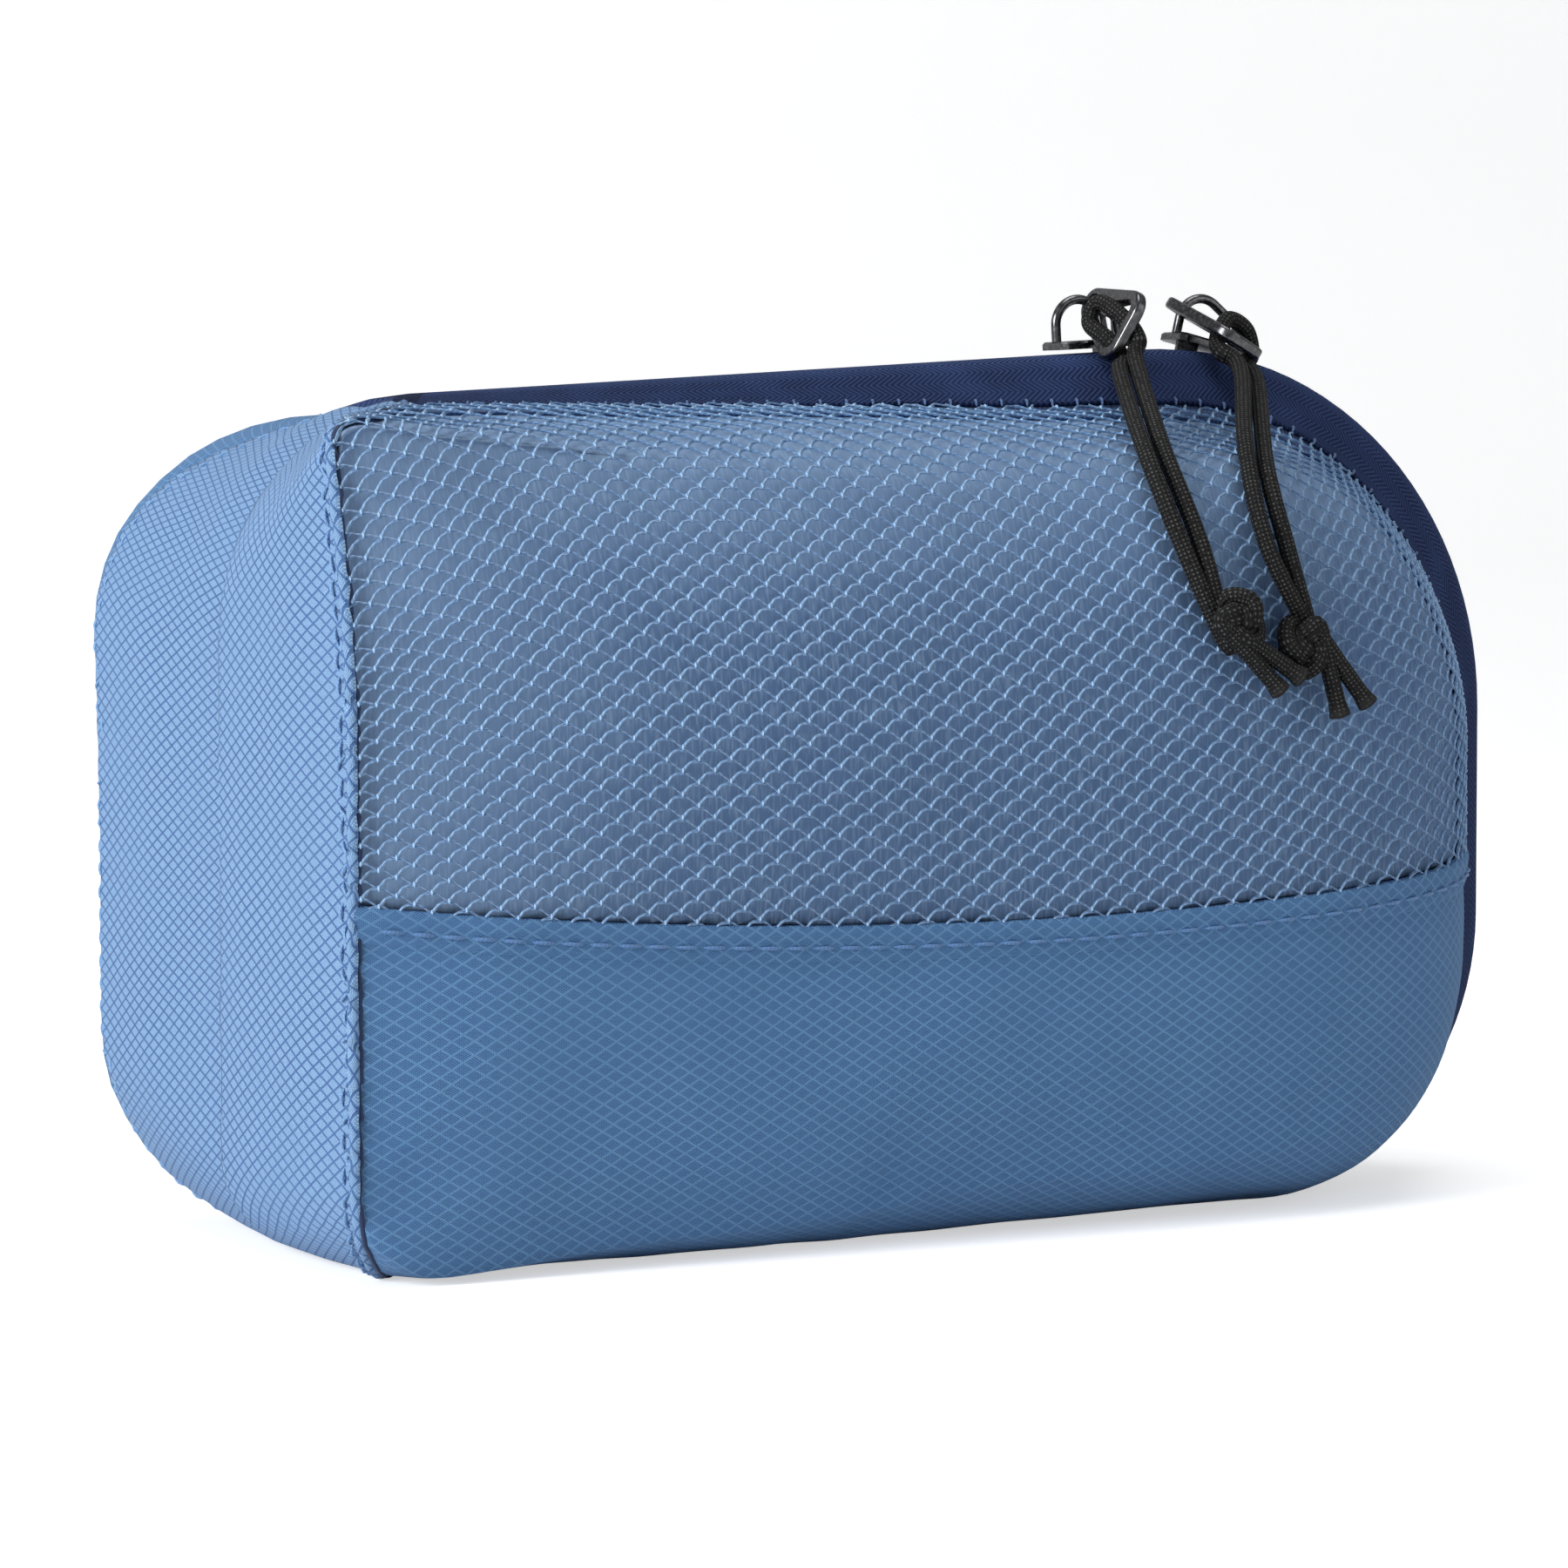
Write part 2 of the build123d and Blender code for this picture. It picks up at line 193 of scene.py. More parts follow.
def profile(side):
    """Finely spaced profile rows from the zip to the middle of a face."""
    rows = profile_rows(side)
    move = np.diff(rows, axis=0)
    knots = np.concatenate([[0.0], np.cumsum(np.hypot(move[:, 0], np.abs(move[:, 1:9]).mean(1)))])
    query = [knots[0]]
    for i, steps in enumerate(ROW_STEPS):
        query.extend(np.linspace(knots[i], knots[i + 1], steps + 1)[1:])
    query = np.array(query)
    fine = np.zeros((len(query), rows.shape[1]))
    creased = (1, 2, 7, 8, 9, 12)
    before = query <= knots[SEAM] + TINY
    for column in range(rows.shape[1]):
        if column in creased:
            fine[before, column] = monotone(knots[: SEAM + 1], rows[: SEAM + 1, column], query[before])
            fine[~before, column] = monotone(knots[SEAM:], rows[SEAM:, column], query[~before], True)
        else:
            fine[:, column] = monotone(knots, rows[:, column], query)
    return fine


def rounded_outline(row):
    """Points of one outline: straight sides joined by arcs, from the top left and clockwise."""
    corners = row[1:9].reshape(4, 2)
    radii = row[9:13]
    arcs = []
    for i in range(4):
        before = unit(corners[i - 1] - corners[i])
        after = unit(corners[(i + 1) % 4] - corners[i])
        half = math.acos(before @ after) / 2
        run = radii[i] / math.tan(half)
        centre = corners[i] + unit(before + after) * radii[i] / math.sin(half)
        arcs.append((corners[i] + before * run, centre, corners[i] + after * run))
    points = []
    for i in range(4):
        nxt = (i + 1) % 4
        start = arcs[i][2]
        first, centre, last = arcs[nxt]
        share = np.arange(SIDE_STEPS[i]) / SIDE_STEPS[i]
        points.append(start + np.outer(share, first - start))
        angle = math.atan2(*(first - centre)[::-1])
        turn = math.atan2(*(last - centre)[::-1]) - angle
        turn = (turn + math.pi) % (2 * math.pi) - math.pi
        angles = angle + turn * np.arange(ARC_STEPS[i]) / ARC_STEPS[i]
        points.append(centre + radii[nxt] * np.stack([np.cos(angles), np.sin(angles)], 1))
    return np.vstack(points)


def half_grid(side):
    """Rows of points from the zip to the middle of the front (side -1) or back (side 1)."""
    rows = []
    for row in profile(side):
        flat = rounded_outline(row)
        rows.append(np.stack([flat[:, 0], np.full(len(flat), side * row[0]), flat[:, 1]], 1))
    return np.array(rows)


def outward_of(outline):
    """Unit vectors that point out of a clockwise outline, in its own plane."""
    tangent = np.roll(outline, -1, 0) - np.roll(outline, 1, 0)
    outward = np.stack([-tangent[:, 1], tangent[:, 0]], 1)
    return outward / np.linalg.norm(outward, axis=1)[:, None]


def unrolled(grid):
    """Fabric coordinates of a half: its plan, with the length lost to depth added outwards."""
    step = np.diff(grid, axis=0)
    spare = np.linalg.norm(step, axis=2) - np.linalg.norm(step[:, :, [0, 2]], axis=2)
    extra = np.zeros(grid.shape[:2])
    extra[:-1] = np.cumsum(spare[::-1], axis=0)[::-1]
    return grid[:, :, [0, 2]] + outward_of(grid[0][:, [0, 2]])[None] * extra[..., None]


def rim_coordinates(grid, side):
    """Distance along the zip line, and across it, for every point of a half."""
    along = distances(grid[0])
    steps = np.linalg.norm(np.diff(grid, axis=0), axis=2)
    across = np.concatenate([[np.zeros(grid.shape[1])], np.cumsum(steps, axis=0)])
    return np.stack([np.broadcast_to(along, across.shape), side * across], 2)


# ---- Cloth simulation of the stuffed skin -------------------------------------------------
VOXEL = 5.0
CLOTH_FRAMES = 16
CLOTH_PRESSURE = 3.0
SWELL_LIMIT = 1.3
HELD_WIDTH = 3.0


def seam_x(y):
    """X of the end panel's upright seam, in front of the zip or behind it."""
    return SEAM_X if y < 0 else BACK_SEAM_X


def end_edge(y):
    """X of the end panel's edge in plan."""
    depth = abs(y)
    if depth > SEAM_DEPTH:
        return 2 * LEFT
    if depth <= TAPE_EDGE:
        return ZIP_END_X
    share = (depth - TAPE_EDGE) / (SEAM_DEPTH - TAPE_EDGE)
    return ZIP_END_X + (seam_x(y) - ZIP_END_X) * share


def near_seam(p):
    """True on the zip band, the end panel's seams and the hem, which the stuffing can't push out."""
    x, y, z = p
    if abs(y) < TAPE_EDGE:
        return True
    if abs(x - end_edge(y)) < HELD_WIDTH:
        return True
    if abs(abs(y) - SEAM_DEPTH) < HELD_WIDTH and x < seam_x(y) + HELD_WIDTH:
        return True
    return y < 0 and abs(z - HEM_HEIGHT) < HELD_WIDTH


def swell(points, faces):
    """Moves the skin's points by a coarse cloth simulation with pressure inside and the seams held."""
    mesh = bpy.data.meshes.new("swell_form")
    mesh.from_pydata((points * MM).tolist(), [], faces)
    form = linked("swell_form", mesh)
    remesh = form.modifiers.new("even", "REMESH")
    remesh.mode = "VOXEL"
    remesh.voxel_size = VOXEL * MM
    depsgraph = bpy.context.evaluated_depsgraph_get()
    even = bpy.data.meshes.new_from_object(form.evaluated_get(depsgraph))
    form.modifiers.clear()
    form.data = even
    held = form.vertex_groups.new(name="held")
    held.add([v.index for v in even.vertices if near_seam(v.co / MM)], 1.0, "REPLACE")
    before = [v.co / MM for v in even.vertices]
    cloth = form.modifiers.new("cloth", "CLOTH")
    cloth.settings.vertex_group_mass = "held"
    cloth.settings.use_pressure = True
    cloth.settings.uniform_pressure_force = CLOTH_PRESSURE
    cloth.settings.effector_weights.gravity = 0.0
    cloth.point_cache.frame_end = CLOTH_FRAMES
    for number in range(1, CLOTH_FRAMES + 1):
        bpy.context.scene.frame_set(number)
    depsgraph = bpy.context.evaluated_depsgraph_get()
    after = [v.co / MM for v in form.evaluated_get(depsgraph).data.vertices]
    even.calc_loop_triangles()
    triangles = [tuple(t.vertices) for t in even.loop_triangles]
    tree = BVHTree.FromPolygons(before, triangles)
    moved = points.copy()
    for i, p in enumerate(points):
        here, _, index, _ = tree.find_nearest(Vector(p))
        corners = triangles[index]
        there = barycentric_transform(here, *[before[c] for c in corners], *[after[c] for c in corners])
        push = there - here
        if push.length > SWELL_LIMIT:
            push = push.normalized() * SWELL_LIMIT
        moved[i] += np.array(push)
    bpy.data.objects.remove(form)
    bpy.context.scene.frame_set(1)
    return moved


# ---- The skin ------------------------------------------------------------------------------
# The front leans back towards its top left corner. Each pair is where that starts and is complete.
LEAN_BACK = 8.0
LEAN_DOWN = 1.5
LEAN_HEIGHTS = (60.0, 114.0)
LEAN_WIDTHS = (45.0, -75.0)
LEAN_DEPTHS = (-6.0, -34.0)
LEAN_SHAPE = 1.5


def ramp(values, start, end):
    """0 before start, 1 past end and smooth between them."""
    share = np.clip((values - start) / (end - start), 0.0, 1.0)
    return share * share * (3 - 2 * share)


def leaned(points):
    """The points of a soft piece, moved with the cloth that leans back."""
    points = np.array(points, float)
    amount = ramp(points[:, 2], *LEAN_HEIGHTS) ** LEAN_SHAPE
    amount *= ramp(points[:, 0], *LEAN_WIDTHS)
    amount *= ramp(points[:, 1], *LEAN_DEPTHS)
    points[:, 1] += LEAN_BACK * amount
    points[:, 2] -= LEAN_DOWN * amount
    return points


FOLD_SIZE = 26.0
FOLD_HEIGHT = 0.55
CREASE_SIZE = 9.0
CREASE_HEIGHT = 0.16
PUCKER_PITCH = 5.2
PUCKER_REACH = 3.5
PUCKER_HEIGHT = 0.32
BACK_PUCKER_SHARE = 0.2


def wrinkle(p):
    """Outward shift of the skin at a point: soft folds, and puckers beside the end seams."""
    x, y, z = p
    calm = min(1.0, max(0.0, (abs(y) - TAPE_EDGE * 0.5) / TAPE_EDGE))
    folds = FOLD_HEIGHT * noise.noise(Vector(p) / FOLD_SIZE)
    folds += CREASE_HEIGHT * noise.noise(Vector(p) / CREASE_SIZE)
    distance = abs(x - end_edge(y))
    if abs(y) > SEAM_DEPTH:
        distance = x - seam_x(y)
    elif x < end_edge(y):
        distance = min(distance, math.hypot(x - seam_x(y), abs(y) - SEAM_DEPTH))
    phase = 2 * math.pi * z / PUCKER_PITCH + 4 * noise.noise(Vector((y, z, x)) / FOLD_SIZE)
    pucker = PUCKER_HEIGHT * math.exp(-abs(distance) / PUCKER_REACH) * math.sin(phase)
    if y > 0:
        pucker *= BACK_PUCKER_SHARE
    return calm * (folds + pucker)


def build_skin():
    """The whole closed skin as a bmesh, with fabric coordinates on every point."""
    front = half_grid(-1)
    back = half_grid(1)
    grid = np.concatenate([front[::-1], back[1:]])
    flat = np.concatenate([unrolled(front)[::-1], unrolled(back)[1:]])
    rim = np.concatenate([rim_coordinates(front, -1)[::-1], rim_coordinates(back, 1)[1:]])
    rows, columns = grid.shape[:2]
    points = grid.reshape(-1, 3)
    faces = []
    for j in range(rows - 1):
        for i in range(columns):
            k = (i + 1) % columns
            faces.append((j * columns + i, j * columns + k, (j + 1) * columns + k, (j + 1) * columns + i))
    caps = [tuple(range(columns))[::-1], tuple(range((rows - 1) * columns, rows * columns))]
    points = swell(points, faces + caps)
    skin = bmesh.new()
    flat_layer = skin.verts.layers.float_vector.new("flat")
    rim_layer = skin.verts.layers.float_vector.new("rim")
    for p, f, r in zip(points, flat.reshape(-1, 2), rim.reshape(-1, 2)):
        vertex = skin.verts.new(p)
        vertex[flat_layer] = (f[0], f[1], 0)
        vertex[rim_layer] = (r[0], r[1], 0)
    skin.verts.ensure_lookup_table()
    for f in faces + caps:
        skin.faces.new([skin.verts[i] for i in f])
    bmesh.ops.recalc_face_normals(skin, faces=skin.faces)
    skin.normal_update()
    shifts = [v.normal * wrinkle(v.co) for v in skin.verts]
    for vertex, shift in zip(skin.verts, shifts):
        vertex.co += shift
        vertex.co.z = max(vertex.co.z, 0.0)
    skin.normal_update()
    return skin


def cut(skin, point, normal, wanted):
    """Splits the faces that wanted picks along a plane."""
    faces = [f for f in skin.faces if wanted(f.calc_center_median())]
    edges = {e for f in faces for e in f.edges}
    verts = {v for f in faces for v in f.verts}
    bmesh.ops.bisect_plane(skin, geom=faces + list(edges) + list(verts), plane_co=point, plane_no=normal)


def cut_zones(skin):
    """Cuts the skin along the zip, the tape edges and the end panel's seams."""
    for side in (-1, 1):
        cut(skin, (0, side * TAPE_EDGE, 0), (0, 1, 0), lambda c: abs(c.y) < SEAM_DEPTH)
        cut(skin, (0, side * ZIP_GAP, 0), (0, 1, 0), lambda c: abs(c.y) < TAPE_EDGE)
        run = Vector((ZIP_END_X - seam_x(side), side * (TAPE_EDGE - SEAM_DEPTH), 0))
        across = Vector((-run.y, run.x, 0))
        cut(
            skin,
            (seam_x(side), side * SEAM_DEPTH, 0),
            across,
            lambda c: c.x < ZIP_END_X + 1 and TAPE_EDGE <= side * c.y <= SEAM_DEPTH + 1,
        )
    cut(skin, (ZIP_END_X, 0, 0), (1, 0, 0), lambda c: abs(c.y) < TAPE_EDGE)


def zone(centre):
    """Which piece of the bag a face belongs to."""
    x, y, _ = centre
    if abs(y) <= SEAM_DEPTH and x < end_edge(y):
        return "end"
    if abs(y) < ZIP_GAP:
        return "gap"
    side = "front" if y < 0 else "back"
    return side + ("_tape" if abs(y) < TAPE_EDGE else "_panel")


def extract(skin, wanted):
    """A copy of the skin that keeps the faces that wanted picks."""
    piece = skin.copy()
    drop = [f for f in piece.faces if not wanted(f.calc_center_median())]
    bmesh.ops.delete(piece, geom=drop, context="FACES")
    piece.normal_update()
    return piece


def object_from(piece, name, material, thickness=0.0, lift=0.0):
    """A Blender object from a bmesh in millimetres. lift moves it out along its normals."""
    piece = piece.copy()
    places = leaned([v.co + v.normal * lift for v in piece.verts])
    for vertex, place in zip(piece.verts, places):
        vertex.co = Vector(place) * MM
    mesh = bpy.data.meshes.new(name)
    piece.to_mesh(mesh)
    piece.free()
    mesh.shade_smooth()
    mesh.materials.append(material)
    made = linked(name, mesh)
    if thickness:
        solidify = made.modifiers.new("cloth_thickness", "SOLIDIFY")
        solidify.thickness = thickness * MM
        solidify.offset = -1.0
    return made


# ---- Mesh building for yarns, threads and cords ----------------------------------------------
# Where a tube's first corner points, as far as its direction lets it.
TUBE_GUIDE = (0.0, -1.0, 0.2)


class Build:
    """Gathers points, faces and named coordinates, then makes one smooth mesh object."""

    def __init__(self):
        self.points = []
        self.faces = []
        self.data = {}
        self.count = 0

    def add(self, points, faces, **data):
        self.points.append(points)
        self.faces.append(np.asarray(faces) + self.count)
        for name, values in data.items():
            self.data.setdefault(name, []).append(values)
        self.count += len(points)

    def finish(self, name, material):
        points = leaned(np.vstack(self.points)) * MM
        points[:, 2] = np.maximum(points[:, 2], 0.0)
        mesh = bpy.data.meshes.new(name)
        mesh.from_pydata(points.tolist(), [], np.vstack(self.faces).tolist())
        for key, values in self.data.items():
            layer = mesh.attributes.new(key, "FLOAT_VECTOR", "POINT")
            layer.data.foreach_set("vector", np.vstack(values).astype(np.float32).ravel())
        mesh.shade_smooth()
        mesh.materials.append(material)
        return linked(name, mesh)


def add_tube(build, points, radii, sides, tint=None):
    """A round tube through points. Its coordinates are the distance along and the angle round."""
    points = np.asarray(points, float)
    count = len(points)
    radii = np.broadcast_to(radii, (count,))
    tangent = np.gradient(points, axis=0)
    tangent /= np.maximum(np.linalg.norm(tangent, axis=1), TINY)[:, None]
    normal = np.zeros_like(points)
    guide = np.array(TUBE_GUIDE)
    for i in range(count):
        guide = guide - tangent[i] * (guide @ tangent[i])
        guide /= np.linalg.norm(guide)
        normal[i] = guide
    side_way = np.cross(tangent, normal)
    angle = np.linspace(0, 2 * math.pi, sides + 1)
    ring = np.cos(angle)[None, :, None] * normal[:, None] + np.sin(angle)[None, :, None] * side_way[:, None]
    shell = (points[:, None] + radii[:, None, None] * ring).reshape(-1, 3)
    marks = np.zeros((count, sides + 1, 3))
    marks[:, :, 0] = distances(points)[:, None]
    marks[:, :, 1] = angle[None]
    if tint is not None:
        marks[:, :, 2] = np.asarray(tint)[:, None]
    build.add(shell, quads(count, sides + 1), yarn=marks.reshape(-1, 3))


def smooth_path(points, step):
    """Catmull-Rom curve through points, sampled about every step."""
    points = np.asarray(points, float)
    ends = np.vstack([2 * points[0] - points[1], points, 2 * points[-1] - points[-2]])
    out = []
    for i in range(1, len(ends) - 2):
        a, b, c, d = ends[i - 1 : i + 3]
        count = max(2, int(np.linalg.norm(c - b) / step))
        t = np.linspace(0, 1, count, endpoint=False)[:, None]
        curve = 2 * b + (c - a) * t + (2 * a - 5 * b + 4 * c - d) * t**2 + (3 * b - 3 * c + d - a) * t**3
        out.append(curve / 2)
    out.append(points[-1:])
    return np.vstack(out)


def boundary_path(piece, wanted):
    """The points of the longest chain of open edges whose ends wanted picks."""
    links = {}
    for edge in piece.edges:
        if len(edge.link_faces) == 1 and all(wanted(v.co) for v in edge.verts):
            a, b = edge.verts
            links.setdefault(a, []).append(b)
            links.setdefault(b, []).append(a)
    chains = []
    seen = set()
    for start in [v for v in links if len(links[v]) == 1]:
        if start in seen:
            continue
        chain = [start]
        seen.add(start)
        while True:
            onward = [v for v in links[chain[-1]] if v not in seen]
            if not onward:
                break
            chain.append(onward[0])
            seen.add(onward[0])
        chains.append(chain)
    return np.array([v.co for v in max(chains, key=len)])


def spaced(path, step):
    """The same path with a point every step."""
    along = distances(path)
    marks = np.arange(0, along[-1], step)
    return np.stack([np.interp(marks, along, path[:, k]) for k in range(3)], 1)


class Surface:
    """The finished skin, to lay details on."""

    def __init__(self, skin):
        self.tree = BVHTree.FromBMesh(skin)

    def lay(self, point, lift):
        """The nearest place on the skin, raised by lift, and the normal there."""
        here, normal, _, _ = self.tree.find_nearest(Vector(point))
        return np.array(here + normal * lift), np.array(normal)

    def clear(self, point, gap):
        """The point itself, or the nearest place that stays gap outside the skin."""
        here, normal, _, _ = self.tree.find_nearest(Vector(point))
        away = (Vector(point) - here).dot(normal)
        if away >= gap:
            return np.array(point, float)
        return np.array(Vector(point) + normal * (gap - away))


class FlatMap:
    """Finds the place on a panel that has given fabric coordinates."""

    def __init__(self, piece):
        copy = piece.copy()
        bmesh.ops.triangulate(copy, faces=copy.faces)
        layer = copy.verts.layers.float_vector["flat"]
        copy.verts.index_update()
        self.places = [v.co.copy() for v in copy.verts]
        self.normals = [v.normal.copy() for v in copy.verts]
        self.flats = [Vector(v[layer]) for v in copy.verts]
        self.triangles = [tuple(v.index for v in f.verts) for f in copy.faces]
        self.tree = BVHTree.FromPolygons(self.flats, self.triangles)

    def place(self, u, v, lift):
        """The point on the panel at (u, v), raised by lift, or None outside the panel."""
        here, _, index, _ = self.tree.ray_cast(Vector((u, v, 1)), Vector((0, 0, -1)))
        if here is None:
            return None
        corners = self.triangles[index]
        flat = [self.flats[c] for c in corners]
        point = barycentric_transform(here, *flat, *[self.places[c] for c in corners])
        normal = barycentric_transform(here, *flat, *[self.normals[c] for c in corners]).normalized()
        return np.array(point + normal * lift)


# ---- Materials ---------------------------------------------------------------------------------
def tone(red, green, blue):
    """Linear colour from 0-255 display values."""
    linear = []
    for value in (red, green, blue):
        share = value / 255
        linear.append(share / 12.92 if share <= 0.04045 else ((share + 0.055) / 1.055) ** 2.4)
    return (*linear, 1.0)


class Shade:
    """A short way to write one material's nodes."""

    def __init__(self, name, roughness, sheen=0.0, metallic=0.0):
        self.material = bpy.data.materials.new(name)
        self.material.use_nodes = True
        self.tree = self.material.node_tree
        self.surface = self.tree.nodes["Principled BSDF"]
        self.set("Roughness", roughness)
        self.set("Sheen Weight", sheen)
        self.set("Sheen Roughness", 0.45)
        self.set("Metallic", metallic)

    def feed(self, socket, value):
        if isinstance(value, bpy.types.NodeSocket):
            self.tree.links.new(value, socket)
        else:
            socket.default_value = value

    def set(self, name, value):
        self.feed(self.surface.inputs[name], value)

    def node(self, kind, inputs, **settings):
        made = self.tree.nodes.new("ShaderNode" + kind)
        for key, value in settings.items():
            setattr(made, key, value)
        for key, value in inputs.items():
            self.feed(made.inputs[key], value)
        return made

    def math(self, operation, *values):
        return self.node("Math", dict(enumerate(values)), operation=operation).outputs[0]

    def coordinates(self, name):
        """The x, y and z of a mesh's own named coordinates, in millimetres."""
        vector = self.node("Attribute", {}, attribute_name=name).outputs["Vector"]
        parts = self.node("SeparateXYZ", {0: vector})
        return parts.outputs[0], parts.outputs[1], parts.outputs[2], vector

    def step(self, value, low, high, to_low=0.0, to_high=1.0):
        """A smooth step of value between low and high."""
        inputs = {"Value": value, "From Min": low, "From Max": high, "To Min": to_low, "To Max": to_high}
        return self.node("MapRange", inputs, interpolation_type="SMOOTHSTEP").outputs[0]

    def lines(self, value, period, width):
        """1 on thin lines that repeat every period."""
        near = self.math("PINGPONG", value, period / 2)
        return self.step(near, width * 0.4, width, 1.0, 0.0)

    def wave(self, value, period, shift=0.0):
        """A sine of value from 0 to 1."""
        turned = self.math("MULTIPLY_ADD", value, 2 * math.pi / period, shift)
        return self.math("MULTIPLY_ADD", self.math("SINE", turned), 0.5, 0.5)

    def noise(self, vector, scale, detail=3.0):
        return self.node("TexNoise", {"Vector": vector, "Scale": scale, "Detail": detail}).outputs[0]

    def mix(self, share, first, second):
        made = self.node("Mix", {0: share, 6: first, 7: second}, data_type="RGBA")
        return made.outputs[2]

    def bump(self, height, distance, strength=1.0):
        inputs = {"Height": height, "Distance": distance * MM, "Strength": strength}
        self.set("Normal", self.node("Bump", inputs).outputs[0])


# The diamonds of the ripstop grid, the share of them that is line, and the threads in each.
RIPSTOP_WIDTH = 2.8
RIPSTOP_HEIGHT = 1.7
RIPSTOP_LINE = 0.14
WEAVES_PER_CELL = 6


def ripstop(name, ground, weave_dark, line_colour, line_strength):
    """Light woven cloth with a diamond grid of thicker threads."""
    shade = Shade(name, 0.7, sheen=0.05)
    u, v, _, vector = shade.coordinates("flat")
    across = shade.math("DIVIDE", u, RIPSTOP_WIDTH)
    up = shade.math("DIVIDE", v, RIPSTOP_HEIGHT)
    first = shade.math("ADD", across, up)
    second = shade.math("SUBTRACT", across, up)
    grid = shade.math("MAXIMUM", *[shade.lines(way, 1.0, RIPSTOP_LINE) for way in (first, second)])
    warp = shade.wave(first, 1 / WEAVES_PER_CELL)
    weft = shade.wave(second, 1 / WEAVES_PER_CELL)
    weave = shade.math("MULTIPLY", warp, weft)
    cloud = shade.noise(vector, 0.05)
    colour = shade.mix(shade.step(weave, 0.1, 0.75), weave_dark, ground)
    colour = shade.mix(shade.math("MULTIPLY", grid, line_strength), colour, line_colour)
    colour = shade.mix(shade.step(cloud, 0.35, 0.75, 0.0, 0.22), colour, weave_dark)
    shade.set("Base Color", colour)
    height = shade.math("MULTIPLY_ADD", grid, 0.6, weave)
    shade.bump(height, 0.12, 0.8)
    return shade.material


# The tape's herringbone turns back after this width, and its ribs and threads have these pitches.
HERRINGBONE_WIDTH = 2.2
RIB_PITCH = 0.85
TAPE_THREAD_PITCH = 0.45
# Painted shade: the tape darkens between these distances from the zip.
TAPE_PAINTED_SHADE = (5.0, 10.0)


def zip_cloth():
    """Navy tape with a fine herringbone twill."""
    shade = Shade("zip_tape_twill", 0.85)
    shade.set("Specular IOR Level", 0.15)
    along, across, _, vector = shade.coordinates("rim")
    zigzag = shade.math("PINGPONG", across, HERRINGBONE_WIDTH)
    slant = shade.math("MULTIPLY_ADD", zigzag, 0.9, along)
    rib = shade.wave(slant, RIB_PITCH)
    fine = shade.wave(across, TAPE_THREAD_PITCH)
    mix = shade.math("MULTIPLY_ADD", fine, 0.35, rib)
    colour = shade.mix(shade.step(mix, 0.2, 1.2), tone(26, 38, 74), tone(60, 82, 130))
    # Painted shade: darker between these distances from the zip.
    edge = shade.step(shade.math("ABSOLUTE", across), *TAPE_PAINTED_SHADE)
    colour = shade.mix(shade.math("MULTIPLY", edge, 0.45), colour, tone(18, 28, 58))
    cloud = shade.noise(vector, 0.12)
    colour = shade.mix(shade.step(cloud, 0.4, 0.8, 0.0, 0.25), colour, tone(60, 84, 138))
    shade.set("Base Color", colour)
    shade.bump(mix, 0.12, 0.9)
    return shade.material


def yarn_material(name, dark, light, twist, roughness=0.5):
    """Twisted yarn: slanting fibres along the tube, lighter where its own tint says. On the net that tint is
    painted highlight.
    """
    shade = Shade(name, roughness, sheen=0.3)
    along, angle, tint, _ = shade.coordinates("yarn")
    slant = shade.math("MULTIPLY_ADD", along, 2 * math.pi / twist, angle)
    fibre = shade.math("MULTIPLY_ADD", shade.math("SINE", slant), 0.5, 0.5)
    colour = shade.mix(shade.math("MULTIPLY_ADD", tint, 0.6, shade.math("MULTIPLY", fibre, 0.4)), dark, light)
    shade.set("Base Color", colour)
    shade.bump(fibre, 0.05, 0.6)
    return shade.material


# Painted light: the backing is lighter from the first to the second fabric height, and to the left, where
# light falls on the front's leaning top left corner.
BACKING_PAINTED_LIGHT_HEIGHTS = (72.0, 112.0)
BACKING_PAINTED_LIGHT_LEFT = (-88.0, -40.0)
# Its filaments run upwards, so their pattern is fine across and long upwards.
STREAK_SQUEEZE = 3.2
STREAK_STRETCH = 0.35


def backing_material():
    """Fine grey-blue filaments behind the net."""
    shade = Shade("net_backing_filaments", 0.75)
    u, v, _, vector = shade.coordinates("flat")
    squeezed = shade.math("MULTIPLY", u, STREAK_SQUEEZE)
    drawn_out = shade.math("MULTIPLY", v, STREAK_STRETCH)
    streak = shade.noise(shade.node("CombineXYZ", {0: squeezed, 1: drawn_out}).outputs[0], 0.9, 2.0)
    colour = shade.mix(shade.step(streak, 0.42, 0.72), tone(104, 136, 176), tone(142, 170, 202))
    cloud = shade.noise(vector, 0.06)
    colour = shade.mix(shade.step(cloud, 0.35, 0.8, 0.0, 0.4), colour, tone(104, 140, 188))
    # Painted light: lighter higher up and further left.
    lit_higher = shade.step(v, *BACKING_PAINTED_LIGHT_HEIGHTS, 0.0, 0.55)
    lit_further_left = shade.step(u, *BACKING_PAINTED_LIGHT_LEFT, 0.5, 0.0)
    colour = shade.mix(shade.math("MAXIMUM", lit_higher, lit_further_left), colour, tone(158, 186, 216))
    shade.set("Base Color", colour)
    shade.bump(streak, 0.08, 0.4)
    return shade.material


BRAID_PITCH = 1.1
BRAID_STRANDS = 6.0


